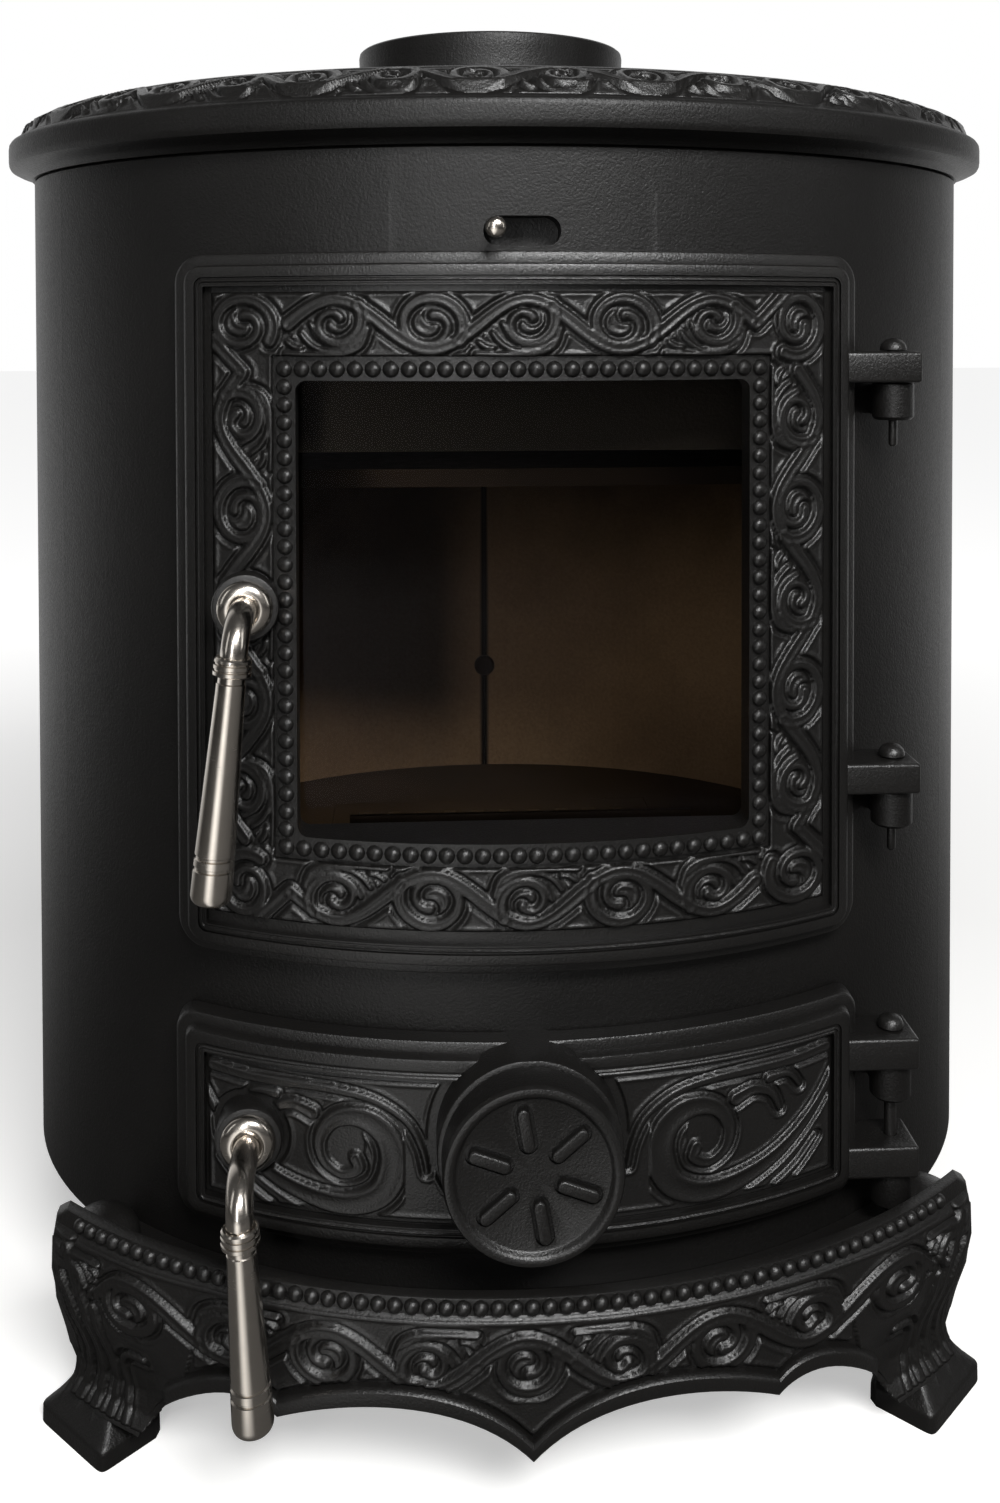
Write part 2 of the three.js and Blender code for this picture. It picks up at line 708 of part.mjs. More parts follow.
function ashDoorCasting() {
  const plate = framedPlate(ashDoor);
  const ringBack = -drumHalfDepth - doorBack - sealGrooveDepth;
  const ring = barAlongY(seatRingRadius, 0, wheelZ, seatRingFront, ringBack);
  const ringFront = ring.intersect(frontPrism(roundedShape(ashDoor), -through * 6, 0));
  const hollow = barAlongY(seatRingRadius - seatRingWall, 0, wheelZ, -through * 6, 0);
  const lugs = ashLugs.map((bottom) => doorLug(ashDoor, bottom, ashLugHeight));
  let body = joined(plate, ringFront, handleBoss(ashHandle), ...lugs).subtract(hollow);
  const hub = barAlongY(hubRadius, 0, wheelZ, hubFront, -drumHalfDepth - doorBack);
  body = body.add(hub);
  for (let i = 0; i < spokeCount; i += 1) {
    const spoke = box(-spokeWidth / 2, spokeWidth / 2, hubFront, -drumHalfDepth - doorBack,
      0, seatRingRadius - seatRingWall / 2);
    body = body.add(spoke.rotate([0, i * 360 / spokeCount, 0]).translate([0, 0, wheelZ]));
  }
  body = body.subtract(barAlongY(stemRadius + seat / 2, 0, wheelZ, -through * 6, 0));
  body = body.subtract(ropeGroove(ashDoor, ashSealInset));
  body = body.subtract(handleBore(ashHandle));
  return body.subtract(hingeBore(pinRadius + seat / 2));
}

function airWheel() {
  let body = turnedAlongY([
    [0, wheelFront + wheelRecess], [wheelRadius - wheelRim - 1, wheelFront + wheelRecess],
    [wheelRadius - wheelRim, wheelFront + 0.8], [wheelRadius - 1.6, wheelFront],
    [wheelRadius, wheelFront + 1.6], [wheelRadius, wheelBack], [wheelRadius - wheelRim, wheelBack],
    [wheelRadius - wheelRim, wheelFront + wheelRecess * 2.5],
    [0, wheelFront + wheelRecess * 2.5],
  ], 0, 0, wideSegments);
  const hub = barAlongY(bushRadius + wheelRim, 0, 0, wheelFront + wheelRecess * 1.5, wheelBack + 2);
  body = body.add(hub).subtract(barAlongY(bushBoreRadius, 0, 0, bushFront - seat, 0));
  for (let i = 0; i < wheelRibCount; i += 1) {
    const rib = new THREE.CapsuleGeometry(wheelRibRadius, wheelRibLength - wheelRibRadius * 2, 2, 6);
    rib.rotateX(Math.PI / 2).translate(0, wheelFront + wheelRecess, wheelRibInner + wheelRibLength / 2);
    rib.rotateY(radians(wheelRibTwist + i * 360 / wheelRibCount));
    body = body.add(solid(rib));
  }
  return body.translate([0, 0, wheelZ]);
}

function airBush() {
  return barAlongY(bushRadius, 0, wheelZ, bushFront, bushBack)
    .subtract(barAlongY(stemRadius + seat, 0, wheelZ, -through * 6, 0));
}

function airStem() {
  const nutBack = -drumHalfDepth - doorBack + seat + nutThickness + 1;
  return barAlongY(stemRadius, 0, wheelZ, stemFront, nutBack);
}

function airStemNut() {
  const face = -drumHalfDepth - doorBack + seat;
  return barAlongY(nutRadius, 0, wheelZ, face, face + nutThickness, 6)
    .subtract(barAlongY(stemRadius + seat / 2, 0, wheelZ, -through * 6, 0));
}

// ---- handles, drawn with the spindle on the Y axis and then set in place ----
function rosette() {
  const back = bossFront - seat;
  return turnedAlongY([
    [rodRadius + running, back - rosetteThickness * 0.7], [rodRadius + running + 1, back - rosetteThickness],
    [rosetteRadius * 0.75, back - rosetteThickness], [rosetteRadius, back - rosetteThickness * 0.4],
    [rosetteRadius, back], [rodRadius + running, back],
    [rodRadius + running, back - rosetteThickness * 0.7],
  ], 0, 0);
}

function handleRod(handle) {
  const path = new THREE.CurvePath();
  const start = new THREE.Vector3(0, bossRear, 0);
  const bend = new THREE.Vector3(0, handle.gripY + elbowRadius, 0);
  const corner = new THREE.Vector3(0, handle.gripY, 0);
  const drop = new THREE.Vector3(0, handle.gripY, -elbowRadius);
  const end = new THREE.Vector3(0, handle.gripY, -handle.gripTop - ferruleHeight);
  path.add(new THREE.LineCurve3(start, bend));
  path.add(new THREE.QuadraticBezierCurve3(bend, corner, drop));
  path.add(new THREE.LineCurve3(drop, end));
  const circle = new THREE.Shape().absarc(0, 0, rodRadius, 0, Math.PI * 2, false);
  const geometry = new THREE.ExtrudeGeometry(circle, { steps: 13, extrudePath: path, curveSegments: 6 });
  const spindle = barAlongY(spindleRadius, 0, 0, bossRear - 1,
    tongueFront + tongueThickness + nutThickness + 2, boreSegments);
  return solid(geometry).add(spindle);
}

function handleFerrule(handle) {
  const middle = -handle.ferrule;
  const half = ferruleHeight / 2;
  const inner = rodRadius + seat;
  return turned([
    [inner, middle - half], [ferruleRadius - 0.7, middle - half], [ferruleRadius, middle - half * 0.5],
    [ferruleRadius - 0.8, middle], [ferruleRadius, middle + half * 0.5],
    [ferruleRadius - 0.7, middle + half], [inner, middle + half], [inner, middle - half],
  ], 0, handle.gripY);
}

function handleGrip(handle) {
  const end = -handle.gripEnd;
  const top = -handle.gripTop;
  const slope = (gripEndRadius - gripTopRadius) / (top - end - grooveRise);
  const radiusAt = (z) => gripEndRadius - Math.max(0, z - end - grooveRise) * slope;
  const profile = [[0, end]];
  for (let i = 1; i <= 4; i += 1) {
    const turn = radians(i * 90 / 4);
    profile.push([radiusAt(end) * Math.sin(turn), end + gripDome * (1 - Math.cos(turn))]);
  }
  for (const rise of [grooveRise, grooveRise + groovePitch]) {
    const z = end + rise;
    profile.push(
      [radiusAt(z), z],
      [radiusAt(z) - grooveDepth, z + grooveWidth / 2],
      [radiusAt(z), z + grooveWidth],
    );
  }
  profile.push([radiusAt(top), top], [0, top]);
  return turned(profile, 0, handle.gripY)
    .subtract(barAlongZ(rodRadius + seat, 0, handle.gripY, top - ferruleHeight - seat, 0));
}

function latchTongue() {
  const outline = roundedShape({
    halfWidth: tongueWidth / 2, bottom: -tongueLength, top: tongueWidth / 2, corner: tongueWidth / 2 - 0.5,
  });
  return frontPrism(outline, tongueFront, tongueFront + tongueThickness)
    .subtract(barAlongY(spindleRadius + seat / 2, 0, 0, -through * 6, 0, boreSegments));
}

function spindleNut() {
  const face = tongueFront + tongueThickness + seat;
  return barAlongY(nutRadius, 0, 0, face, face + nutThickness, 6)
    .subtract(barAlongY(spindleRadius + seat / 2, 0, 0, -through * 6, 0, boreSegments));
}

function handleAssembly(name, handle) {
  const assembly = new THREE.Group();
  assembly.add(piece(`${name}_handle_rod`, handleRod(handle), steel));
  assembly.add(piece(`${name}_handle_ferrule`, handleFerrule(handle), steel));
  assembly.add(piece(`${name}_handle_grip`, handleGrip(handle), steel));
  assembly.add(piece(`${name}_latch_tongue`, latchTongue(), darkSteel));
  assembly.add(piece(`${name}_spindle_nut`, spindleNut(), darkSteel));
  assembly.position.set(handle.x, 0, handle.z);
  assembly.rotation.y = radians(handle.lean);
  return assembly;
}

function rosetteOn(name, handle) {
  const ring = piece(name, rosette(), steel);
  ring.position.set(handle.x, 0, handle.z);
  return ring;
}

// ---- secondary air slide ----
function airSlide() {
  const front = slidePadRear + seat;
  const plate = box(slotLeft - slideLap, slotRight + slideLap, front, front + slideThickness,
    slotBottom - slideLap, slotTop + slideLap);
  const middle = (slotBottom + slotTop) / 2;
  return plate.add(barAlongY(slideShankRadius, slideKnobX, middle,
    slideKnobFront + slideKnobLength / 2, front + slideThickness / 2, boreSegments));
}

function slideKnob() {
  const middle = (slotBottom + slotTop) / 2;
  const back = slideKnobFront + slideKnobLength;
  return turnedAlongY([
    [0, slideKnobFront], [slideKnobRadius * 0.7, slideKnobFront],
    [slideKnobRadius, slideKnobFront + 1], [slideKnobRadius, back - 1],
    [slideKnobRadius * 0.7, back], [0, back],
  ], slideKnobX, middle).subtract(barAlongY(slideShankRadius + seat / 2, slideKnobX, middle,
    slideKnobFront + slideKnobLength / 2 - seat, 0, boreSegments));
}

function slideRail(end) {
  const edge = end > 0 ? slotTop + slideLap : slotBottom - slideLap;
  const front = slidePadRear + seat;
  const lipFront = front + slideThickness + seat;
  const web = [edge + end * seat, edge + end * (seat + slideRailWeb)];
  const lip = [edge - end * (slideRailReach - slideLap + 1), web[1]];
  return joined(
    box(-slidePadHalfWidth + 2, slidePadHalfWidth - 2, front, lipFront + slideRailThickness,
      Math.min(...web), Math.max(...web)),
    box(-slidePadHalfWidth + 2, slidePadHalfWidth - 2, lipFront, lipFront + slideRailThickness,
      Math.min(...lip), Math.max(...lip)),
  );
}

// ---- top plate and flue collar ----
function topPlate() {
  const bottom = drumTop + seat;
  const body = ovalLoft([
    [coveOffset, bottom], [coveOffset + (rimOffset - coveOffset) * 0.35, rimBottom - 3.2],
    [rimOffset - 1, rimBottom], [rimOffset, rimBottom + 1.2], [rimOffset, rimTop - 1.2],
    [rimOffset - 1, rimTop], [shoulderOffset, rimTop + 0.4], [shoulderOffset - 6, rimTop + 6.5],
    [-9, crestTop - 3.2], [crestOffset + 4, crestTop - 0.6], [crestOffset, crestTop],
    [crestOffset - 5, crestTop - 1.2], [deckOffset, deckTop],
  ]);
  const land = barAlongZ(flueRadius + flueWall + flueLandMargin, 0, flueY,
    deckTop - flueLandHeight, deckTop + flueLandHeight, wideSegments);
  let cut = barAlongZ(flueFlangeRadius, 0, flueY, 0, flueTop, wideSegments);
  const rodHole = tieRodRadius + running;
  for (const p of rodPlaces) {
    cut = cut.add(barAlongZ(rodHole, p.x, p.y, bottom - 1, bottom + rodSocketDepth, boreSegments));
  }
  const boltHole = flueBoltRadius + seat / 2;
  for (const x of flueBoltPlaces) {
    cut = cut.add(barAlongZ(boltHole, x, flueY, deckTop - flueBoltDepth, flueTop, boreSegments));
  }
  return body.add(land).subtract(cut);
}

const flueBoltX = (flueFlangeRadius + flueRadius) / 2;
const flueBoltPlaces = [-flueBoltX, flueBoltX];

function flueCollar() {
  const base = flueSeat;
  const outer = flueRadius + flueWall;
  const ledge = base + flueFlangeThickness;
  let body = turned([
    [flueFlangeRadius, base], [outer, base], [outer, flueTop - 2], [outer - 1.5, flueTop],
    [flueRadius + 1.5, flueTop], [flueRadius, flueTop - 2], [flueRadius, ledge],
    [flueFlangeRadius, ledge], [flueFlangeRadius, base],
  ], 0, flueY, wideSegments);
  for (const x of flueBoltPlaces) {
    body = body.subtract(barAlongZ(flueBoltRadius + seat / 2, x, flueY, 0, flueTop - 5, boreSegments));
  }
  return body;
}

function flueBolt(x) {
  const face = flueSeat + flueFlangeThickness + seat;
  return turned([
    [0, deckTop - flueBoltDepth + seat], [flueBoltRadius, deckTop - flueBoltDepth + seat],
    [flueBoltRadius, face], [flueBoltHeadRadius, face], [flueBoltHeadRadius, face + flueBoltHeadHeight],
    [0, face + flueBoltHeadHeight],
  ], x, flueY, boreSegments);
}

// ---- skirt and legs ----
// The lower edge of the skirt: a drooping point in the middle, an arch each side of it and
// a smaller arch that runs into the leg.
function skirtOutline() {
  const shape = new THREE.Shape();
  shape.moveTo(0, skirtApexZ);
  const rise = skirtCuspX - cuspReach;
  const dip = skirtCuspX + sideReach;
  const fall = skirtEndX - endReach;
  shape.bezierCurveTo(apexReach, centreArch, rise, centreArch, skirtCuspX, skirtCuspZ);
  shape.bezierCurveTo(dip, sideArch - 3, fall, sideArch, skirtEndX, skirtEndZ);
  shape.lineTo(legX, skirtEndZ);
  shape.lineTo(drumHalfWidth, kneeZ);
  shape.lineTo(drumHalfWidth, skirtTop);
  shape.lineTo(-drumHalfWidth, skirtTop);
  shape.lineTo(-drumHalfWidth, kneeZ);
  shape.lineTo(-legX, skirtEndZ);
  shape.lineTo(-skirtEndX, skirtEndZ);
  shape.bezierCurveTo(-fall, sideArch, -dip, sideArch - 3, -skirtCuspX, skirtCuspZ);
  shape.bezierCurveTo(-rise, centreArch, -apexReach, centreArch, 0, skirtApexZ);
  return shape;
}

// One leg, drawn with its outward side on +Y, cut to its front and side outlines.
function leg(bracketReach) {
  const front = new THREE.Shape();
  front.moveTo(-footHalfWidth, 0);
  front.lineTo(footHalfWidth, 0);
  front.lineTo(footHalfWidth, footHeight);
  front.bezierCurveTo(ankleHalfWidth, ankleZ * 0.6, ankleHalfWidth, ankleZ, kneeHalfWidth, kneeZ - 8);
  front.bezierCurveTo(kneeHalfWidth + 2, kneeZ + 8, legTopHalfWidth + 5, legTop, legTopHalfWidth, legTop);
  front.lineTo(-legTopHalfWidth, legTop);
  front.bezierCurveTo(-legTopHalfWidth - 5, legTop, -kneeHalfWidth - 2, kneeZ + 8, -kneeHalfWidth, kneeZ - 8);
  front.bezierCurveTo(-ankleHalfWidth, ankleZ, -ankleHalfWidth, ankleZ * 0.6, -footHalfWidth, footHeight);
  front.closePath();
  const side = new THREE.Shape();
  side.moveTo(legBack, 0);
  side.lineTo(footReach, 0);
  side.lineTo(footReach, footHeight);
  side.bezierCurveTo(ankleReach, ankleZ * 0.6, ankleReach - 2, ankleZ, kneeReach - 1, kneeZ - 10);
  side.bezierCurveTo(kneeReach + 3, kneeZ + 4, kneeReach, legTop, kneeReach - 5, legTop);
  side.lineTo(legBack, legTop);
  side.lineTo(legBack, drumBottom - seat);
  side.lineTo(bracketReach, drumBottom - seat);
  side.lineTo(bracketReach, drumBottom - seat - flangeThickness);
  side.lineTo(legBack, drumBottom - seat - flangeThickness * 2.5);
  side.closePath();
  const settings = { depth: legX, bevelEnabled: false, curveSegments: cornerSegments };
  const across = new THREE.ExtrudeGeometry(side, settings).rotateX(Math.PI / 2).rotateZ(Math.PI / 2);
  const body = frontPrism(front, -legX, legX).intersect(solid(across.translate(-legX / 2, 0, 0)));
  return body;
}

function legAt(sideX, sideY, bracketReach) {
  const turn = THREE.MathUtils.radToDeg(Math.atan2(sideY, sideX)) - 90;
  return leg(bracketReach).rotate([0, 0, turn]).translate([sideX * legX, sideY * legY, 0])
    .subtract(ovalPlate(seat, drumBottom - seat, skirtTop + 1));
}

function frontSkirt() {
  const reach = [-skirtHalfAngle, skirtHalfAngle];
  const outline = frontPrism(skirtOutline(), -through * 6, 0, scallopSegments);
  const panel = outline.intersect(slab(skirtBack, skirtFace, ...reach, 0, skirtTop));
  const band = outline.subtract(outline.translate([0, 0, skirtLipHeight]));
  const lipReach = skirtHalfAngle - skirtLipEnd;
  const lip = band.intersect(slab(skirtBack, skirtLipFront, -lipReach, lipReach, 0, skirtTop));
  const deck = slab(seat, skirtBack + 1, ...reach, deckRise, deckRise + deckThickness);
  const flangeTop = drumBottom - seat;
  const flange = slab(flangeBack, skirtBack + 1, ...reach, flangeTop - flangeThickness, flangeTop);
  const gutter = slab(0, skirtBack, -seamAngle, seamAngle, deckRise + deckThickness, skirtTop + 1);
  return joined(panel, lip, deck, flange, legAt(-1, -1, legBack), legAt(1, -1, legBack)).subtract(gutter);
}

// ---- the stove ----
const stove = new THREE.Group();
const knuckleDrop = seat + knuckleHeight; // from a lug's underside to its knuckle's
const castings = [
  ['front_shell', frontShell()],
  ['rear_shell', rearShell()],
  ['floor_plate', floorPlate()],
  ['top_plate', topPlate()],
  ['flue_collar', flueCollar()],
  ['front_skirt', frontSkirt()],
  ['rear_leg_left', legAt(-1, 1, bracketBack)],
  ['rear_leg_right', legAt(1, 1, bracketBack)],
  ['hearth_plate', hearthPlate()],
  ['grate', grate()],
  ['air_wash_lintel', lintel()],
  ['fire_fence', fireFence()],
  ['fire_door_frame', fireDoorCasting()],
  ['ash_door_panel', ashDoorCasting()],
  ['air_wheel', airWheel()],
];
const steelParts = [
  ['flue_bolt_left', flueBolt(flueBoltPlaces[0])],
  ['flue_bolt_right', flueBolt(flueBoltPlaces[1])],
  ['tie_rod_left', tieRod(rodPlaces[0])],
  ['tie_rod_right', tieRod(rodPlaces[1])],
  ['tie_rod_nut_left', tieRodNut(rodPlaces[0])],
  ['tie_rod_nut_right', tieRodNut(rodPlaces[1])],
  ['brick_bolt', brickBolt()],
  ['ash_pan', ashPan()],
  ['fire_hinge_pin_lower', hingePin(fireLugs[0] + fireLugHeight, fireLugs[0] - knuckleDrop, firePinDrop)],
  ['fire_hinge_pin_upper', hingePin(fireLugs[1] + fireLugHeight, fireLugs[1] - knuckleDrop, firePinDrop)],
  ['ash_hinge_pin', hingePin(ashLugs[1] + ashLugHeight, ashLugs[0] - knuckleDrop, ashPinDrop)],
  ['air_wheel_bush', airBush()],
  ['air_stem', airStem()],
  ['air_stem_nut', airStemNut()],
  ['air_slide_plate', airSlide()],
  ['air_slide_rail_lower', slideRail(-1)],
  ['air_slide_rail_upper', slideRail(1)],
];
const bricks = [
  ['side_brick_left', sideBrick(-1)],
  ['side_brick_right', sideBrick(1)],
  ['rear_brick_left', rearBrick(-1)],
  ['rear_brick_right', rearBrick(1)],
  ['baffle_plate', bafflePlate()],
];
const ropes = [
  ['fire_door_rope', ropeRing(fireDoor, fireSealInset, seat, shutGap, doorBack + sealGrooveDepth - seat)],
  ['ash_door_rope', ropeRing(ashDoor, ashSealInset, seat, shutGap, doorBack + sealGrooveDepth - seat)],
  ['glass_gasket', glassGasket()],
];
const groups = [[castings, castIron], [steelParts, darkSteel], [bricks, brick], [ropes, rope]];
for (const [list, material] of groups) {
  for (const [name, body] of list) stove.add(piece(name, body, material));
}
stove.add(piece('glass_retainer_bottom', glassRetainer(-1), darkSteel));
stove.add(piece('glass_retainer_top', glassRetainer(1), darkSteel));
screwPlaces.forEach((place, i) => {
  stove.add(piece(`retainer_screw_${i + 1}`, retainerScrew(place), steel));
});
stove.add(piece('glass', glassPane(), glassMaterial));
stove.add(piece('air_slide_knob', slideKnob(), steel));
stove.add(rosetteOn('fire_handle_rosette', fireHandle), rosetteOn('ash_handle_rosette', ashHandle));
stove.add(handleAssembly('fire', fireHandle), handleAssembly('ash', ashHandle));

// The origin is the middle of the footprint that the whole stove covers.
const extent = new THREE.Box3().setFromObject(stove, true);
stove.position.y = -(extent.min.y + extent.max.y) / 2;

export default stove;
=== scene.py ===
# A small upright room stove in black cast iron: an oval drum on a footed skirt, with a framed
# glass fire door, an ash door with a screw air wheel, and an ornamented top plate.
import math

import bpy
import numpy as np
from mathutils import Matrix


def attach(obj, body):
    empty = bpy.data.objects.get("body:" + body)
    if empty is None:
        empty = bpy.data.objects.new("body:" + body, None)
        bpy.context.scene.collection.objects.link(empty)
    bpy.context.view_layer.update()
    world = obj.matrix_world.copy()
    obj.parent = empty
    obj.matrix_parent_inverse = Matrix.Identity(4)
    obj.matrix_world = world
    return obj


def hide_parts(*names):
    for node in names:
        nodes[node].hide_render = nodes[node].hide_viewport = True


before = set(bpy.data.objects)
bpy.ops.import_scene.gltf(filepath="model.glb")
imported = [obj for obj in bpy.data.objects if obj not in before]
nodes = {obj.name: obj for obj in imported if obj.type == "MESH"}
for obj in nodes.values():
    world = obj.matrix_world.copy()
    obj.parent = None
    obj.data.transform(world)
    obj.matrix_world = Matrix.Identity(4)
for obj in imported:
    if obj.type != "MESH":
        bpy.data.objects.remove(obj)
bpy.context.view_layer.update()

MM = 0.001

# Camera and light. The camera stands a little left of the stove's middle, near the height of the
# fire door's top, and looks almost straight ahead: upright lines stay upright, and the frame is
# shifted down to the feet. A soft box hangs high in front, with a narrow strip and two panels.
bpy.ops.object.select_all(action="DESELECT")
bpy.ops.object.camera_add(
    location=(-0.0401, -0.7132, 0.4322), rotation=(math.pi / 2 - 0.023, 0.002, -0.057))
camera = bpy.context.object
camera.data.lens = 35.35
camera.data.shift_y = -0.2586
camera.data.clip_start = 0.02
bpy.context.scene.camera = camera
bpy.context.scene.view_settings.view_transform = "Standard"


def linear(colour):
    """An sRGB hex colour as the linear values that a shader needs."""
    channels = [int(colour[i:i + 2], 16) / 255 for i in (1, 3, 5)]
    return [c / 12.92 if c < 0.04045 else ((c + 0.055) / 1.055) ** 2.4 for c in channels] + [1.0]


def fill(tree, shader, sockets):
    """Gives each named socket of a node its value, or joins it to another node's socket."""
    for socket, value in sockets.items():
        if isinstance(value, bpy.types.NodeSocket):
            tree.links.new(value, shader.inputs[socket])
        else:
            shader.inputs[socket].default_value = value


def node(tree, kind, sockets=None, **settings):
    """Adds one shader node: its own settings, then its sockets, each a value or another socket."""
    made = tree.nodes.new("ShaderNode" + kind)
    for key, value in settings.items():
        setattr(made, key, value)
    fill(tree, made, sockets or {})
    return made


# The room is white to the camera, also through the pane, and dim to the light that the iron sends
# on, so that the black stays black. A glossy face mirrors it white only towards the back.
world = bpy.data.worlds.new("studio")
bpy.context.scene.world = world
world.use_nodes = True
sky = world.node_tree
sky.nodes.clear()
path = node(sky, "LightPath")
direct = node(sky, "Math", {0: path.outputs["Is Camera Ray"],
                            1: path.outputs["Is Transmission Ray"]}, operation="MAXIMUM")
aim = node(sky, "SeparateXYZ", {0: node(sky, "TexCoord").outputs["Generated"]})
behind = node(sky, "MapRange", {"Value": aim.outputs["Y"], "From Min": 0.3, "From Max": 0.85})
mirrored = node(sky, "Math", {0: path.outputs["Is Glossy Ray"], 1: behind.outputs[0]},
                operation="MULTIPLY")
seen = node(sky, "Math", {0: direct.outputs[0], 1: mirrored.outputs[0]}, operation="MAXIMUM")
dim = node(sky, "Background", {"Color": linear("#ffffff"), "Strength": 0.07})
white = node(sky, "Background", {"Color": linear("#ffffff"), "Strength": 1.0})
both = node(sky, "MixShader", {0: seen.outputs[0], 1: dim.outputs[0], 2: white.outputs[0]})
node(sky, "OutputWorld", {"Surface": both.outputs[0]})


def soft_box(name, place, size, power):
    """A rectangular lamp, in metres and watts, turned to face the middle of the stove."""
    bpy.ops.object.light_add(type="AREA", location=place)
    lamp = bpy.context.object
    lamp.name = name
    lamp.data.shape = "RECTANGLE"
    lamp.data.size, lamp.data.size_y = size
    lamp.data.energy = power
    middle_height = 0.28
    away = place[0], place[1], place[2] - middle_height
    tilt = math.atan2(math.hypot(away[0], away[1]), away[2])
    lamp.rotation_euler = (tilt, 0, math.atan2(away[0], -away[1]))


soft_box("softbox_over_front", (0.35, -1.6, 1.5), (0.8, 0.45), 46)
soft_box("strip_in_front", (-0.5, -2.1, 0.9), (0.18, 1.2), 11)
soft_box("panel_right", (1.7, -0.9, 1.0), (0.3, 1.2), 2.5)
soft_box("panel_left", (-1.7, -0.9, 1.0), (0.3, 1.2), 1.5)

# The floor: white paper, a little brighter away from the stove. A glossy face mirrors it only
# behind the stove and in one slanting stripe in front of the handles, which gives the steel its
# bright streak. To all other light it is grey, so that it doesn't lift the black of the iron.
bpy.ops.mesh.primitive_plane_add(size=30, location=(0, 0, 0))
floor = bpy.context.object
floor.name = "floor"
paper = bpy.data.materials.new("white_paper_sweep")
paper.use_nodes = True
tree = paper.node_tree
tree.nodes.clear()
path = node(tree, "LightPath")
matt = node(tree, "BsdfDiffuse", {"Color": linear("#e9e8e6")})
place = node(tree, "TexCoord")
away = node(tree, "VectorMath", {0: place.outputs["Object"]}, operation="LENGTH")
fade = node(tree, "MapRange", {"Value": away.outputs["Value"], "From Min": 0.5, "From Max": 1.6,
                               "To Min": 0.42, "To Max": 0.85})
glow = node(tree, "Emission", {"Color": linear("#ffffff"), "Strength": fade.outputs["Result"]})
lit = node(tree, "AddShader", {0: matt.outputs[0], 1: glow.outputs[0]})
spot = node(tree, "SeparateXYZ", {0: place.outputs["Object"]})
behind = node(tree, "MapRange", {"Value": spot.outputs["Y"], "From Min": 0.0, "From Max": 0.9})
# The stripe is a fan that opens to the front from a point under the handles, turned to the left.
FAN_X, FAN_Y, FAN_SLOPE = -0.105, -0.17, -0.22
ahead = node(tree, "Math", {0: spot.outputs["Y"], 1: -1.0, 2: FAN_Y}, operation="MULTIPLY_ADD")
ahead = node(tree, "Math", {0: ahead.outputs[0], 1: 0.02}, operation="MAXIMUM")
aside = node(tree, "Math", {0: spot.outputs["X"], 1: FAN_X}, operation="SUBTRACT")
slope = node(tree, "Math", {0: aside.outputs[0], 1: ahead.outputs[0]}, operation="DIVIDE")
slant = node(tree, "Math", {0: slope.outputs[0], 1: FAN_SLOPE}, operation="SUBTRACT")
slant = node(tree, "Math", {0: slant.outputs[0]}, operation="ABSOLUTE")
stripe = node(tree, "MapRange", {"Value": slant.outputs[0], "From Min": 0.06, "From Max": 0.5,
                                 "To Min": 1.0, "To Max": 0.0})
near = node(tree, "MapRange", {"Value": spot.outputs["Y"], "From Min": -0.3, "From Max": -0.22,
                               "To Min": 1.0, "To Max": 0.0})
stripe = node(tree, "Math", {0: stripe.outputs[0], 1: near.outputs[0]}, operation="MULTIPLY")
either = node(tree, "Math", {0: stripe.outputs[0], 1: behind.outputs[0]}, operation="MAXIMUM")
mirrored = node(tree, "Math", {0: path.outputs["Is Glossy Ray"], 1: either.outputs[0]},
                operation="MULTIPLY")
shown = node(tree, "Math", {0: path.outputs["Is Camera Ray"], 1: mirrored.outputs[0]},
             operation="MAXIMUM")
shaded = node(tree, "BsdfDiffuse", {"Color": linear("#5c5b5a")})
pick = node(tree, "MixShader", {0: shown.outputs[0], 1: shaded.outputs[0], 2: lit.outputs[0]})
node(tree, "OutputMaterial", {"Surface": pick.outputs[0]})
floor.data.materials.append(paper)

# The drum: two iron castings, oval in plan, bolted together at a seam well round each side. The
# front one has the door openings, the air slot and the hinge knuckles; both have inner ledges
# for the floor and hearth plates. Sand cast, ground at the seams, and brushed with stove black.
HALF_WIDTH, HALF_DEPTH = 219 * MM, 185 * MM
SHIFT = 14.4 * MM  # the drum's middle lies behind the middle of the whole footprint
ROUND = 300 * MM  # radius at which a ring is turned before it is pressed to the oval


def plan_point(turn, out):
    """A point of the oval plan, turn radians from the front, moved out along the wall's normal."""
    x, y = HALF_WIDTH * np.sin(turn), -HALF_DEPTH * np.cos(turn)
    nx, ny = x / HALF_WIDTH ** 2, y / HALF_DEPTH ** 2
    size = np.hypot(nx, ny)
    return x + out * nx / size, y + out * ny / size + SHIFT


def read_points(piece):
    """A piece's points, in metres, as rows of x, y and z."""
    points = np.zeros(len(piece.data.vertices) * 3)
    piece.data.vertices.foreach_get("co", points)
    return points.reshape(-1, 3)


def write_points(piece, points):
    piece.data.vertices.foreach_set("co", np.asarray(points).ravel())
    piece.data.update()


def press_ring(piece):
    """Presses a piece turned at radius ROUND about the upright axis to the drum's oval plan."""
    points = read_points(piece)
    turn = np.arctan2(points[:, 0], -points[:, 1])
    out = np.hypot(points[:, 0], points[:, 1]) - ROUND
    points[:, 0], points[:, 1] = plan_point(turn, out)
    write_points(piece, points)


def only(piece):
    """Selects one piece and nothing else."""
    bpy.ops.object.select_all(action="DESELECT")
    piece.select_set(True)
    bpy.context.view_layer.objects.active = piece


def edit(piece):
    """Opens a piece in edit mode, with all of it selected."""
    only(piece)
    bpy.ops.object.mode_set(mode="EDIT")
    bpy.ops.mesh.select_all(action="SELECT")


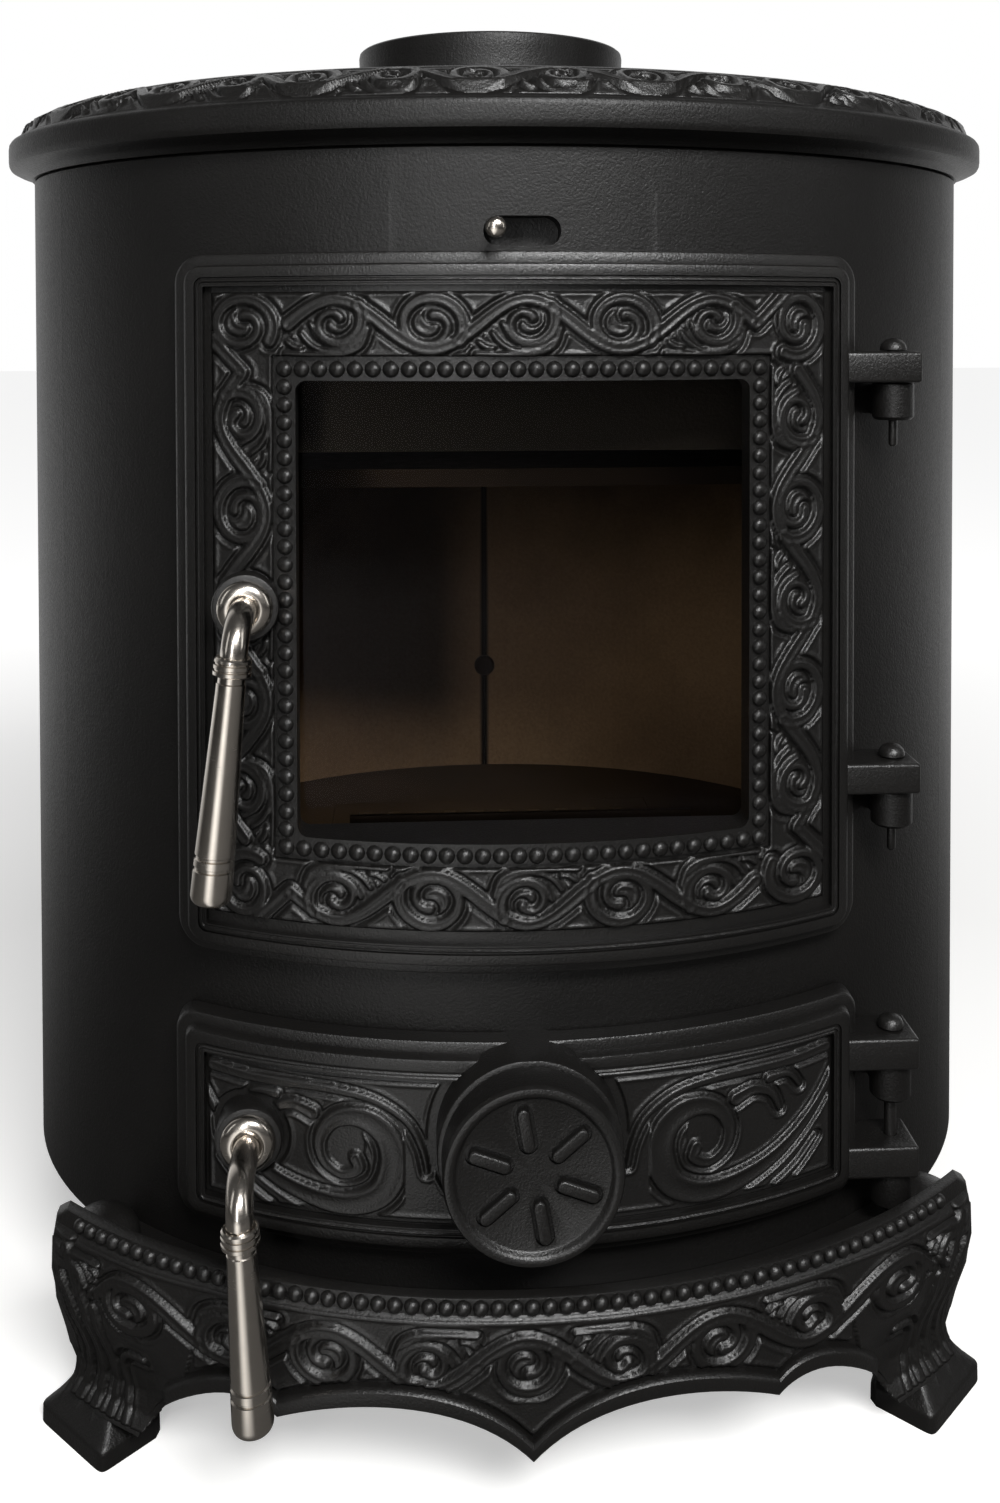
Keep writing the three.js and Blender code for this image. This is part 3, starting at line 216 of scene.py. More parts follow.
def done():
    """Merges doubled points, turns the faces outwards and leaves edit mode."""
    bpy.ops.mesh.select_all(action="SELECT")
    bpy.ops.mesh.remove_doubles(threshold=0.002 * MM)
    bpy.ops.mesh.normals_make_consistent(inside=False)
    bpy.ops.object.mode_set(mode="OBJECT")


def pull(x=0, y=0, z=0):
    """Extrudes what is selected by a distance in millimetres."""
    bpy.ops.mesh.extrude_region_move(TRANSFORM_OT_translate={"value": (x * MM, y * MM, z * MM)})


def settle():
    """Puts the place, turn and size of the selected piece into its mesh."""
    bpy.ops.object.transform_apply(location=True, rotation=True, scale=True)


def changed(piece, kind, **settings):
    """Gives a piece one modifier and applies it."""
    only(piece)
    change = piece.modifiers.new("change", kind)
    for key, value in settings.items():
        setattr(change, key, value)
    bpy.ops.object.modifier_apply(modifier="change")


def drawn(name, points, closed=False):
    """A line drawn through points given in millimetres, ready to be spun or pulled."""
    links = [(i, i + 1) for i in range(len(points) - 1)]
    if closed:
        links.append((len(points) - 1, 0))
    mesh = bpy.data.meshes.new(name)
    mesh.from_pydata([[c * MM for c in p] for p in points], links, [])
    piece = bpy.data.objects.new(name, mesh)
    bpy.context.scene.collection.objects.link(piece)
    return piece


def turned(name, profile, centre=(0, 0, 0), along="Z", steps=48, closed=False):
    """A lathe-turned piece. The profile is (radius, height) in millimetres, along Z or -Y."""
    cx, cy, cz = centre
    if along == "Z":
        points = [(cx + r, cy, cz + h) for r, h in profile]
        axis = (0, 0, 1)
    else:
        points = [(cx + r, cy - h, cz) for r, h in profile]
        axis = (0, 1, 0)
    piece = drawn(name, points, closed)
    edit(piece)
    bpy.ops.mesh.spin(steps=steps, angle=2 * math.pi, center=[c * MM for c in centre], axis=axis)
    done()
    return piece


def cut(piece, cutter, operation="DIFFERENCE"):
    """Cuts one solid with another, or joins them, and throws the second away."""
    changed(piece, "BOOLEAN", operation=operation, solver="EXACT", object=cutter)
    bpy.data.objects.remove(cutter)


def join(pieces, name):
    """Makes several pieces one object, still as separate shells."""
    bpy.ops.object.select_all(action="DESELECT")
    for piece in pieces:
        piece.select_set(True)
    bpy.context.view_layer.objects.active = pieces[0]
    if len(pieces) > 1:
        bpy.ops.object.join()
    pieces[0].name = name
    pieces[0].data.name = name
    return pieces[0]


def flat_start(name, low, high, corner, back, steps):
    """Opens a flat shape with rounded corners, seen from the front; low and high are (x, z)."""
    middle = [(low[i] + high[i]) / 2 * MM for i in (0, 1)]
    bpy.ops.mesh.primitive_plane_add(
        size=1, location=(middle[0], back * MM, middle[1]), rotation=(math.pi / 2, 0, 0))
    shape = bpy.context.object
    shape.name = name
    shape.scale = ((high[0] - low[0]) * MM, (high[1] - low[1]) * MM, 1)
    settle()
    edit(shape)
    if corner:
        bpy.ops.mesh.bevel(offset=corner * MM, segments=steps, affect="VERTICES")
    return shape


def rounded_slab(name, low, high, corner, front, back, steps=8):
    """A flat slab with rounded corners, between two values of y."""
    slab = flat_start(name, low, high, corner, back, steps)
    pull(y=front - back)
    done()
    return slab


def opening(low, high, corner, steps=8):
    """A cutter that goes right through the front of the stove."""
    return rounded_slab("c", low, high, corner, -300, -60, steps)


def block(name, x, y, z):
    """A squared block between two values on each axis, in millimetres."""
    return rounded_slab(name, (x[0], z[0]), (x[1], z[1]), 0, y[0], y[1])


def finished(piece, material, body, slot, *stands_for, crease=32):
    """Smooths a piece between its creases, gives it its material and body, and hides the CAD
    nodes that it stands for; slot is not used.
    """
    only(piece)
    bpy.ops.object.shade_smooth_by_angle(angle=math.radians(crease))
    piece.data.materials.clear()
    piece.data.materials.append(material)
    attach(piece, body)
    if stands_for:
        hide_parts(*stands_for)


def new_finish(name):
    """A new material with its node tree, its main shader and the Object coordinates."""
    made = bpy.data.materials.new(name)
    made.use_nodes = True
    tree = made.node_tree
    return made, tree, tree.nodes["Principled BSDF"], node(tree, "TexCoord").outputs["Object"]


# Sand-cast grey iron under brushed stove black: a slightly warm black with a soft sheen, glossier
# on the carved castings. The sand leaves a grain of about 1 mm, drawn a little coarse so that it
# shows, with shallow waves of about 9 mm and patches that take the black unevenly.
WAVES, PATCHES = 9 * MM, 45 * MM


def iron_finish(name, colour, grain, roughness, depth, shine):
    made, tree, skin, spot = new_finish(name)
    sand = node(tree, "TexNoise", {"Vector": spot, "Scale": 1 / (grain * MM), "Detail": 3.0,
                                   "Roughness": 0.6})
    wave = node(tree, "TexNoise", {"Vector": spot, "Scale": 1 / WAVES, "Detail": 2.0})
    patch = node(tree, "TexNoise", {"Vector": spot, "Scale": 1 / PATCHES, "Detail": 3.0})
    shade = node(tree, "MapRange", {"Value": patch.outputs["Fac"], "From Min": 0.3, "From Max": 0.7,
                                    "To Min": 0.86, "To Max": 1.14})
    tint = node(tree, "Mix", {0: 1.0, 6: linear(colour), 7: shade.outputs["Result"]},
                data_type="RGBA", blend_type="MULTIPLY")
    gloss = node(tree, "MapRange", {"Value": sand.outputs["Fac"], "From Min": 0.3, "From Max": 0.7,
                                    "To Min": roughness - 0.05, "To Max": roughness + 0.07})
    low = node(tree, "Bump", {"Height": wave.outputs["Fac"], "Strength": 0.35,
                              "Distance": 0.35 * MM})
    bump = node(tree, "Bump", {"Height": sand.outputs["Fac"], "Strength": 1.0,
                               "Distance": depth * MM, "Normal": low.outputs["Normal"]})
    fill(tree, skin, {"Base Color": tint.outputs[2], "Roughness": gloss.outputs["Result"],
                      "Normal": bump.outputs["Normal"], "Specular IOR Level": shine})
    return made


plain_iron = iron_finish("stove_blacked_plain_casting", "#0e0d0c", 1.1, 0.44, 0.20, 0.32)
carved_iron = iron_finish("stove_blacked_carved_casting", "#121110", 0.9, 0.36, 0.20, 0.5)


def bowed(name, profile, start, end):
    """A casting that follows the drum between two angles; its profile is (out, height).

    A spin by a positive angle goes clockwise from above, so it is given the angle backwards.
    """
    degrees_a_step = 1.5
    radius = ROUND / MM
    turn = math.radians(start)
    points = [((radius + o) * math.sin(turn), -(radius + o) * math.cos(turn), z)
              for o, z in profile]
    piece = drawn(name, points, closed=True)
    edit(piece)
    steps = round((end - start) / degrees_a_step)
    bpy.ops.mesh.spin(steps=steps, angle=math.radians(start - end), center=(0, 0, 0),
                      axis=(0, 0, 1))
    bpy.ops.mesh.select_all(action="SELECT")
    bpy.ops.mesh.fill_holes(sides=0)
    done()
    press_ring(piece)
    return piece


# The castings' section: the wall, rounded at head and foot, and two ledges inside.
SHELL = [(-7, 62), (-0.8, 62), (0, 62.8), (0, 499.2), (-0.8, 500), (-7, 500), (-7, 164),
         (-14, 164), (-14, 158), (-7, 154), (-7, 95.8), (-14, 95.8), (-14, 90), (-7, 86)]
SEAM = 60  # degrees from the front
front = bowed("front_casting", SHELL, -SEAM, SEAM)
FIRE_OPENING = (-116.5, 211.8), (116.5, 444.7)
ASH_OPENING = (-117.4, 102.8), (117.4, 160)
AIR_SLOT = (-15.2, 462.8), (13.6, 473.9)
cut(front, block("slide_pad", (-50, 50), (-166, -157.6), (453.8, 482.9)), "UNION")
cut(front, opening(*FIRE_OPENING, 6))
cut(front, opening(*ASH_OPENING, 5))
cut(front, opening(*AIR_SLOT, 5.4, 10))
HINGE_X, HINGE_Y = 148.3, -139.6
FIRE_LUGS, ASH_LUGS = (250, 411), (97.8, 140.8)  # feet of the doors' lugs
PLAY = 0.3  # under a lug and under a pin's head
knuckles = []
for lug in FIRE_LUGS + ASH_LUGS:
    top = lug - PLAY
    barrel = turned("knuckle", [
        (2.7, top - 14.6), (6.9, top - 14.6), (8.1, top - 13.4), (8.1, top - 0.6), (7.5, top),
        (2.7, top)], (HINGE_X, HINGE_Y, 0), steps=32, closed=True)
    web = block("web", (HINGE_X - 5, HINGE_X + 5), (HINGE_Y + 5, -118), (top - 13, top - 1.4))
    knuckles += [barrel, web]
front = join([front] + knuckles, "front_casting")
finished(front, plain_iron, "stove", "cast_iron", "front_shell")
rear = bowed("rear_casting", SHELL, SEAM + 0.02, 360 - SEAM - 0.02)
finished(rear, plain_iron, "stove", "cast_iron", "rear_shell")

# The top plate: one oval casting that caps the drum. A half-round rim overhangs the wall, a
# shoulder slopes up from it to a rounded crest, and the hob inside is flat. A leafed scroll runs
# round the shoulder. It is held down by the two tie rods, and the flue collar is bolted to it.
LID_SECTION = [  # (out, height), from under the rim over the shoulder and the crest to the hob
    (-34, 500.3), (1, 500.3), (2.2, 501.6), (4.6, 503.2), (8.4, 504.2), (10.4, 505.2), (11, 506.4),
    (11.2, 508), (11.2, 513.4), (11, 515), (10.3, 516.1), (9.2, 516.7), (8.2, 516.8), (7.6, 517.2),
    (3.6, 520.5), (-3, 523.9), (-9, 526.3), (-13.7, 527.6), (-14.2, 530.2), (-15.2, 531.2),
    (-17, 531.9), (-19.5, 532), (-22, 531.8), (-24.4, 530.9), (-26, 529.4), (-27.2, 527.4),
    (-29, 526.7), (-34, 526.5)]


def plug(radius, start, end, centre, along="Z", steps=32):
    """A plain round cutter between two heights, or between two depths in front of the axis."""
    return turned("c", [(0, start), (radius, start), (radius, end), (0, end)], centre, along, steps)


lid = turned("top_plate_casting", [(ROUND / MM + out, z) for out, z in LID_SECTION],
             steps=220)
edit(lid)
bpy.ops.mesh.fill_holes(sides=0)
done()
press_ring(lid)
FLUE_Y, FLUE_RADIUS = 74.4, 62.5
cut(lid, plug(FLUE_RADIUS, 480, 540, (0, FLUE_Y, 0), steps=96))
finished(lid, plain_iron, "stove", "cast_iron", "top_plate")


def spline(points, start, end, fine=9):
    """One strand of carving: a smooth line through a few points, with a half-width at each end."""
    p = np.array([points[0]] + list(points) + [points[-1]], float)
    t = np.linspace(0, 1, fine, endpoint=False)[:, None]
    runs = []
    for a, b, c, d in zip(p, p[1:], p[2:], p[3:]):
        runs.append(b + 0.5 * t * (c - a + t * (2 * a - 5 * b + 4 * c - d
                                                + t * (3 * (b - c) + d - a))))
    line = np.vstack(runs + [p[-1:]])
    return np.hstack([line, np.linspace(start, end, len(line))[:, None]])


def curl(centre, side, radii, widths, start, end, tall=0.95):
    """A spiral strand; radii and widths are spaced evenly from its first angle to its last."""
    turn = np.linspace(start, end, 60)
    shown = np.linspace(start, end, len(radii))
    r = np.interp(turn, shown, radii)
    w = np.interp(turn, np.linspace(start, end, len(widths)), widths)
    a = np.radians(turn)
    return np.stack([centre + 1.08 * r * np.cos(a), side * tall * r * np.sin(a), w], 1)


def vine(count, pitch, size=1.0, closed=False):
    """A running scroll: plain spirals and leafed ones by turns, and one stem that winds past."""
    strands = []
    for k in range(0, count, 2):
        plain = k * pitch
        strands.append(curl(plain, 1, [11.6, 10.4, 9.8, 8.8, 7.4, 5.6, 3.6],
                            [2.6, 2.4, 2.1, 1.9, 1.7, 1.6, 1.9], -32, 440))
        leaf = plain + pitch
        strands.append(curl(leaf, -1, [10.6, 8.0, 6.2, 5.6, 4.8, 3.0],
                            [2.6, 2.2, 1.8, 1.6, 1.5, 1.8], -40, 310, 1.0))
        fingers = [[(10.2, -3.6), (5, -6.9), (-1, -7.4), (-6, -4.6), (-9.0, 0.4)],
                   [(10.4, -5.6), (4, -9.2), (-4, -9.6), (-9.4, -7), (-12.6, -3.2)],
                   [(12.2, -1.6), (10, -7.6), (4, -10.6), (-6, -11.0), (-18.6, -10.6)],
                   [(-12.4, -8.6), (-15, -8.2), (-17.6, -6.4)]]
        for points in fingers:
            strands.append(spline([(leaf + u, v) for u, v in points], 1.15, 1.0))
    ends = (-0.5, count + 0.5) if closed else (0.5, count - 0.5)
    u = np.arange(ends[0] * pitch, ends[1] * pitch, 1.2)
    sway = np.cos(np.pi * u / pitch)
    stem = np.stack([u, -9.1 * sway, 2.7 - 0.35 * np.abs(sway)], 1)
    strands.append(stem)
    return [s * size for s in strands]


ROUNDED = 1.1  # width of a strand's rounded edge
FAR = 1e3


def measured(u, v, strands):
    """For each point, the distance to the nearest strand's edge, and the strand's own height.

    A broad strand is hollowed along its middle, as carving is, and a thin one is a little lower.
    """
    near, top = np.full(u.shape, FAR), np.zeros(u.shape)
    for strand in strands:
        low, high = strand[:, :2].min(0) - 4, strand[:, :2].max(0) + 4
        inside = (u > low[0]) & (u < high[0]) & (v > low[1]) & (v < high[1])
        pu, pv = u[inside], v[inside]
        if not pu.size:
            continue
        best, across, wide = np.full(pu.shape, FAR), np.full(pu.shape, 9.0), np.ones(pu.shape)
        for a, b in zip(strand[:-1], strand[1:]):
            du, dv = b[0] - a[0], b[1] - a[1]
            t = np.clip(((pu - a[0]) * du + (pv - a[1]) * dv) / (du * du + dv * dv + 1e-9), 0, 1)
            gap = np.hypot(pu - a[0] - t * du, pv - a[1] - t * dv)
            half = a[2] + t * (b[2] - a[2])
            closer = gap - half < best
            best = np.where(closer, gap - half, best)
            across = np.where(closer, gap / half, across)
            wide = np.where(closer, half, wide)
        edge = np.clip(-best / ROUNDED, 0, 1)
        broad = np.clip((wide - 1.5) / 1.0, 0, 1)
        hollow = 1 - 0.24 * broad * np.clip(1 - (across / 0.62) ** 2, 0, 1)
        height = np.sqrt(1 - (1 - edge) ** 2) * hollow * (1 - 0.12 * (1 - broad))
        top[inside] = np.maximum(top[inside], height)
        near[inside] = np.minimum(near[inside], best)
    return near, top


def carved(near, top, border):
    """Heights from 0 to 1: the strands, and the raised field left over between them."""
    field = np.clip((near - ROUNDED) / 0.8, 0, 1) * np.clip(border / 0.7, 0, 1)
    field = field * field * (3 - 2 * field)
    sunk = 1 - 0.38 * np.clip((np.minimum(near, border + 1.2) - 2.3) / 1.1, 0, 1)
    return np.maximum(top * np.clip(border / 0.5 + 1, 0, 1), 0.72 * field * sunk)


SKIN = 1.6


def relief(name, low, high, cell, heights, base, depth, keep=None):
    """A carved skin, drawn flat on a fine grid, with y = -out.

    Its face stands base + depth * heights(u, v) out, and only what keep(u, v) says is left.
    """
    span = [high[i] - low[i] for i in (0, 1)]
    bpy.ops.mesh.primitive_grid_add(
        x_subdivisions=round(span[0] / cell), y_subdivisions=round(span[1] / cell), size=1,
        rotation=(math.pi / 2, 0, 0))
    piece = bpy.context.object
    piece.name = name
    settle()
    points = read_points(piece)
    u = low[0] + (points[:, 0] + 0.5) * span[0]
    v = low[1] + (points[:, 2] + 0.5) * span[1]
    out = base + depth * heights(u, v)
    write_points(piece, np.stack([u, -out, v], 1) * MM)
    edit(piece)
    bpy.ops.mesh.select_mode(type="VERT")
    if keep is not None:
        bpy.ops.mesh.select_all(action="DESELECT")
        bpy.ops.object.mode_set(mode="OBJECT")
        piece.data.vertices.foreach_set("select", ~keep(u, v))
        bpy.ops.object.mode_set(mode="EDIT")
        bpy.ops.mesh.delete(type="VERT")
    done()
    changed(piece, "SOLIDIFY", thickness=SKIN * MM, offset=-1)
    return piece


def round_lengths(out, reach, count):
    """Angles to both sides of the front, with the x and the length along the oval at each."""
    turns = np.linspace(-reach, reach, count)
    x, y = plan_point(turns, out * MM)
    lengths = np.concatenate([[0], np.cumsum(np.hypot(np.diff(x), np.diff(y)))])
    return turns, x, lengths - lengths[count // 2]


def wrap_round(piece, out):
    """Bends a flat piece round the drum: x becomes the length along the oval at that offset."""
    turns, _, lengths = round_lengths(out, math.pi, 4001)
    points = read_points(piece)
    turn = np.interp(points[:, 0], lengths, turns)
    points[:, 0], points[:, 1] = plan_point(turn, -points[:, 1])
    write_points(piece, points)


# The carving on the lid: forty scrolls, set where one stands a little left of the front's middle.
LID_SCROLLS = 40
LID_OUT = -2.6  # middle of the shoulder, out from the drum's face
LID_ROUND = 2 * round_lengths(LID_OUT, math.pi, 4001)[2][-1] / MM
LID_PITCH = LID_ROUND / LID_SCROLLS
LID_SCALE = 0.86
LID_START = -17.5
LID_HALF_BAND = 11.4
lid_vine = vine(LID_SCROLLS + 2, LID_PITCH / LID_SCALE, LID_SCALE, closed=True)


def lid_heights(u, v):
    along = (u - LID_START) % LID_ROUND
    near, top = measured(along, -v / 1.16, lid_vine)
    return carved(near, top, 11.2 - np.abs(v)) * np.clip((11.8 - v) / 5, 0.1, 1)


def lay_on_shoulder(piece):
    """Lays the flat ring of carving on the lid's shoulder: across it becomes out and up."""
    points = read_points(piece) / MM
    across, high = points[:, 2], -points[:, 1]
    out = LID_OUT + across * 0.93
    rise = np.interp(out, [-14.4, -9, -3, 3.6, 7.6], [530.2, 528.4, 526, 522.6, 518.6])
    tilt = np.interp(out, [-12, -3, 5], [0.30, 0.42, 0.62])
    points[:, 1] = -(out + high * np.sin(tilt))
    points[:, 2] = rise + high * np.cos(tilt)
    write_points(piece, points * MM)


lid_scroll = relief("top_plate_scroll", (-LID_ROUND / 2, -LID_HALF_BAND),
                    (LID_ROUND / 2, LID_HALF_BAND), 0.8, lid_heights, -1.5, 3.2)
lay_on_shoulder(lid_scroll)
wrap_round(lid_scroll, LID_OUT)
finished(lid_scroll, carved_iron, "stove", "cast_iron", crease=180)

# The flue collar: a short round casting with a rolled lip, bolted to the top plate over the
# opening to the flue. The flue pipe drops into it and rests on the flange inside.
collar = turned("flue_collar_casting", [
    (52, 527.9), (69.5, 527.9), (71, 528.4), (71, 530.6), (70, 531.4), (69.3, 533), (69.3, 569.5),
    (69.5, 574), (69.1, 576.1), (68, 577), (64.2, 577), (62.9, 576.3), (FLUE_RADIUS, 575),
    (FLUE_RADIUS, 534.2), (61.8, 533.8), (52.6, 533.8), (52, 533.2)], (0, FLUE_Y, 0), steps=96,
    closed=True)
finished(collar, plain_iron, "stove", "cast_iron", "flue_collar")


# The fire door: an iron frame cast to the curve of the drum, with a stepped rim, a band of
# scrolls, a bead row round the window and a deep flat-backed surround behind it for the pane.
# It hangs on two pins dropped through its lugs into the drum's knuckles.
HANDLE_X, FIRE_HANDLE_Z, ASH_HANDLE_Z = -103, 330, 132


def plate_steps(profile):
    """Steps the front face in and out: the profile is (in from the edge, out from the drum)."""
    edge, out = profile[0]
    for inward, front in profile[1:]:
        bpy.ops.mesh.inset(thickness=(inward - edge) * MM, use_even_offset=True)
        bpy.ops.transform.translate(value=(0, (out - front) * MM, 0))
        edge, out = inward, front


DOOR_BACK = 1.2  # a shut door's back, out from the drum's face


def framed_plate(name, low, high, corner, profile):
    """A flat plate with rounded corners and a stepped front."""
    plate = flat_start(name, low, high, corner, -DOOR_BACK, 10)
    pull(y=DOOR_BACK - profile[0][1])
    plate_steps(profile)
    done()
    return plate


def in_strips(piece, start, end, pitch=5.5, axis=0):
    """Cuts a flat piece across at even steps, so that it can bend there."""
    across = [float(i == axis) for i in range(3)]
    edit(piece)
    for at in np.arange(start, end, pitch):
        bpy.ops.mesh.select_all(action="SELECT")
        bpy.ops.mesh.bisect(plane_co=[at * MM * i for i in across], plane_no=across)
    done()


def press_front(piece):
    """Presses a piece drawn flat, y = -out, straight back on to the front of the drum."""
    points = read_points(piece)
    out = -points[:, 1]
    turn = np.arcsin(np.clip(points[:, 0] / (HALF_WIDTH + out), -0.99, 0.99))
    for _ in range(6):
        miss = plan_point(turn, out)[0] - points[:, 0]
        turn = turn - miss / ((HALF_WIDTH + out) * np.cos(turn))
    points[:, 1] = plan_point(turn, out)[1]
    write_points(piece, points)


def on_the_drum(piece, half, pitch=5.5):
    """Cuts a flat piece into upright strips and presses it to the curve of the drum."""
    in_strips(piece, -half + pitch, half, pitch)
    press_front(piece)


def drawn_in(low, high, by):
    """The two corners of a shape, each moved in by the same amount."""
    return [c + by for c in low], [c - by for c in high]


# The rim's steps, and those of the fillet inside it: (in from the edge, out from the drum).
DOOR_EDGE = [(0, 7.9), (0.3, 8.6), (1.0, 9.0), (4.2, 9.0), (4.6, 12.5), (5.0, 13.2), (5.8, 13.5),
             (8.3, 13.4)]
DOOR_FILLET = [(0, 12.3), (0.3, 12.7), (0.7, 12.7), (1.0, 13.4), (1.6, 13.7), (2.1, 13.1),
               (2.5, 13.1), (2.9, 13.4)]


def framed_door(name, low, high, corner):
    """A door plate with a stepped rim, a raised fillet inside it and a sunk field."""
    door = framed_plate(name, low, high, corner, DOOR_EDGE)
    inner = drawn_in(low, high, 8.8)
    cut(door, rounded_slab("c", *inner, 3.4, -20, -9))
    cut(door, framed_plate("c", *inner, 3.6, DOOR_FILLET), "UNION")
    cut(door, rounded_slab("c", *drawn_in(low, high, 12.2), 0.8, -20, -10.5))
    return door


def rope_groove(low, high, corner):
    """A ring-shaped cutter for the groove that holds a door's rope."""
    groove = rounded_slab("c", low, high, corner, -4.2, 0)
    cut(groove, rounded_slab("c", *drawn_in(low, high, 5.5), 3, -6, 2))
    return groove


def oval_block(name, out, bottom, top):
    """A solid oval, out from the drum's face, between two heights, to cut with."""
    turns = np.linspace(-math.pi, math.pi, 180, endpoint=False)
    x, y = plan_point(turns, out * MM)
    piece = drawn(name, [(a / MM, b / MM, bottom) for a, b in zip(x, y)], closed=True)
    edit(piece)
    bpy.ops.mesh.edge_face_add()
    pull(z=top - bottom)
    done()
    return piece


def lugged(piece, bottoms, height):
    """Adds the hinge lugs to a door and bores them for the pin."""
    space = oval_block("space", 1.2, 60, 510)
    lugs = []
    for bottom in bottoms:
        lug = block("lug", (124, 156.7), (-150.6, -128), (bottom, bottom + height))
        changed(lug, "BEVEL", width=1.3 * MM, segments=3)
        lugs.append(lug)
    lugs = join(lugs, "lugs")
    cut(lugs, space)
    cut(piece, lugs, "UNION")
    cut(piece, plug(2.6, 60, 520, (HINGE_X, HINGE_Y, 0), steps=24))


def handle_boss(piece, z):
    """Adds the round boss that a handle's spindle turns in, and bores it."""
    boss = turned("boss", [(0, 141), (12.5, 141), (12.5, 168.9), (12.1, 169.8), (11.2, 170.1),
                           (0, 170.1)], (HANDLE_X, 0, z), along="Y", steps=40)
    cut(piece, boss, "UNION")
    cut(piece, plug(5.5, 100, 200, (HANDLE_X, 0, z), along="Y"))


FIRE_DOOR_HALF = 132
WINDOW = (-84.3, 245), (84.3, 413.4)
WINDOW_BACK = 155.6  # the flat back of the window's surround, from the stove's middle
fire_door = framed_door("fire_door_casting", (-FIRE_DOOR_HALF, 196), (FIRE_DOOR_HALF, 460.5), 11)
cut(fire_door, rounded_slab("c", *drawn_in(*WINDOW, -7.2), 9, -12, -5), "UNION")
cut(fire_door, rope_groove((-126.5, 203), (126.5, 453.5), 6))
on_the_drum(fire_door, FIRE_DOOR_HALF)
surround = rounded_slab("c", *drawn_in(*WINDOW, -11.5), 14, -6, 0)
in_strips(surround, -90.5, 96)
flat_back = read_points(surround)[:, 1] > -3 * MM
press_front(surround)
points = read_points(surround)
points[flat_back, 1] = -WINDOW_BACK * MM
write_points(surround, points)
cut(fire_door, surround, "UNION")
cut(fire_door, opening(*WINDOW, 4))
handle_boss(fire_door, FIRE_HANDLE_Z)
lugged(fire_door, FIRE_LUGS, 12)
finished(fire_door, carved_iron, "fire_door", "cast_iron", "fire_door_frame")

# The carving on the fire door: six scrolls to a side, clockwise, with a plain spiral in each
# corner and a straight stem behind it.
BAND = (104.5, 224.5, 433.9)  # middle lines of the band: beside, below and above the window
HALF_BAND = 11.7
DOOR_PITCH = 34.86
door_vine = vine(6, DOOR_PITCH)


def merged(*measures):
    """Several sets of strands, measured at the same points, as one."""
    return np.min([near for near, _ in measures], 0), np.max([top for _, top in measures], 0)


def door_heights(x, z):
    side, foot, head = BAND
    runs = [(x + side, z - head), (head - z, x - side), (side - x, foot - z), (z - foot, -side - x)]
    bend = [spline([(-0.5 * DOOR_PITCH, 0), (-13.0, -4.4), (-4.4, -13.0), (0, -0.5 * DOOR_PITCH)],
                   2.6, 2.6)]
    near, top = merged(*(measured(u, v, door_vine + bend) for u, v in runs))
    outer = np.min([side - np.abs(x), z - foot, head - z], 0)
    inner = np.max([np.abs(x) - side, foot - z, z - head], 0)
    return carved(near, top, np.minimum(outer, inner) + HALF_BAND)


BOSS_SPACE = 9  # the carving stops this far from a handle's middle, inside its boss


def door_band(x, z):
    side, foot, head = BAND
    beside = (np.abs(x) > side - 12) | (z < foot + 12) | (z > head - 12)
    return beside & (np.hypot(x - HANDLE_X, z - FIRE_HANDLE_Z) > BOSS_SPACE)


fire_scroll = relief("fire_door_scroll", (-116.6, 212.4), (116.6, 446), 0.72, door_heights, 10.55,
                     2.8, keep=door_band)
press_front(fire_scroll)
finished(fire_scroll, carved_iron, "fire_door", "cast_iron", crease=180)


def bead_row(name, places, size, out):
    """A row of cast beads: one bead, flat at the back, copied to each place (x, z)."""
    bpy.ops.mesh.primitive_uv_sphere_add(segments=12, ring_count=8, radius=size / 2 * MM,
                                         rotation=(math.pi / 2, 0, 0))
    bead = bpy.context.object
    edit(bead)
    bpy.ops.mesh.bisect(plane_co=(0, 0.3 * size * MM, 0), plane_no=(0, 1, 0), use_fill=True,
                        clear_outer=True)
    done()
    row = []
    for x, z in places:
        copy = bead.copy()
        copy.data = bead.data.copy()
        copy.location = (x * MM, -out * MM, z * MM)
        bpy.context.scene.collection.objects.link(copy)
        row.append(copy)
    bpy.data.objects.remove(bead)
    row = join(row, name)
    settle()
    return row


BEAD_SIDE, BEAD_FOOT, BEAD_HEAD, BEADS = 88.5, 240.8, 417.6, 27
along = np.linspace(-BEAD_SIDE, BEAD_SIDE, BEADS, endpoint=False)
up = np.linspace(BEAD_FOOT, BEAD_HEAD, BEADS, endpoint=False)
places = [(x, BEAD_HEAD) for x in along] + [(-x, BEAD_FOOT) for x in along]
places += [(-BEAD_SIDE, z) for z in up]
places += [(BEAD_SIDE, BEAD_HEAD + BEAD_FOOT - z) for z in up]
beads = bead_row("fire_door_beads", places, 6.5, 11.2)
press_front(beads)
finished(beads, carved_iron, "fire_door", "cast_iron", crease=60)

# Drop-in hinge pins: plain iron pins with a domed head, turned down to a thin tail. Each rests on
# the lug of its door and reaches down through the knuckle on the drum.
def hinge_pin(name, lug_top, knuckle_foot, tail, body):
    head = lug_top + PLAY
    pin = turned(name + "_turned", [
        (0, head + 5), (1.7, head + 4.8), (3.3, head + 4.1), (4.6, head + 2.8), (5.15, head + 1.3),
        (5.2, head + 0.4), (4.8, head), (2.4, head), (2.4, knuckle_foot), (1.7, knuckle_foot - 0.7),
        (1.7, tail + 0.8), (1.1, tail), (0, tail)], (HINGE_X, HINGE_Y, 0), steps=28)
    finished(pin, carved_iron, body, "dark_steel", name, crease=40)


hinge_pin("fire_hinge_pin_lower", 262, 235.1, 224.6, "fire_door")
hinge_pin("fire_hinge_pin_upper", 423, 396.1, 385.6, "fire_door")
hinge_pin("ash_hinge_pin", 153.3, 82.9, 76.4, "ash_door")


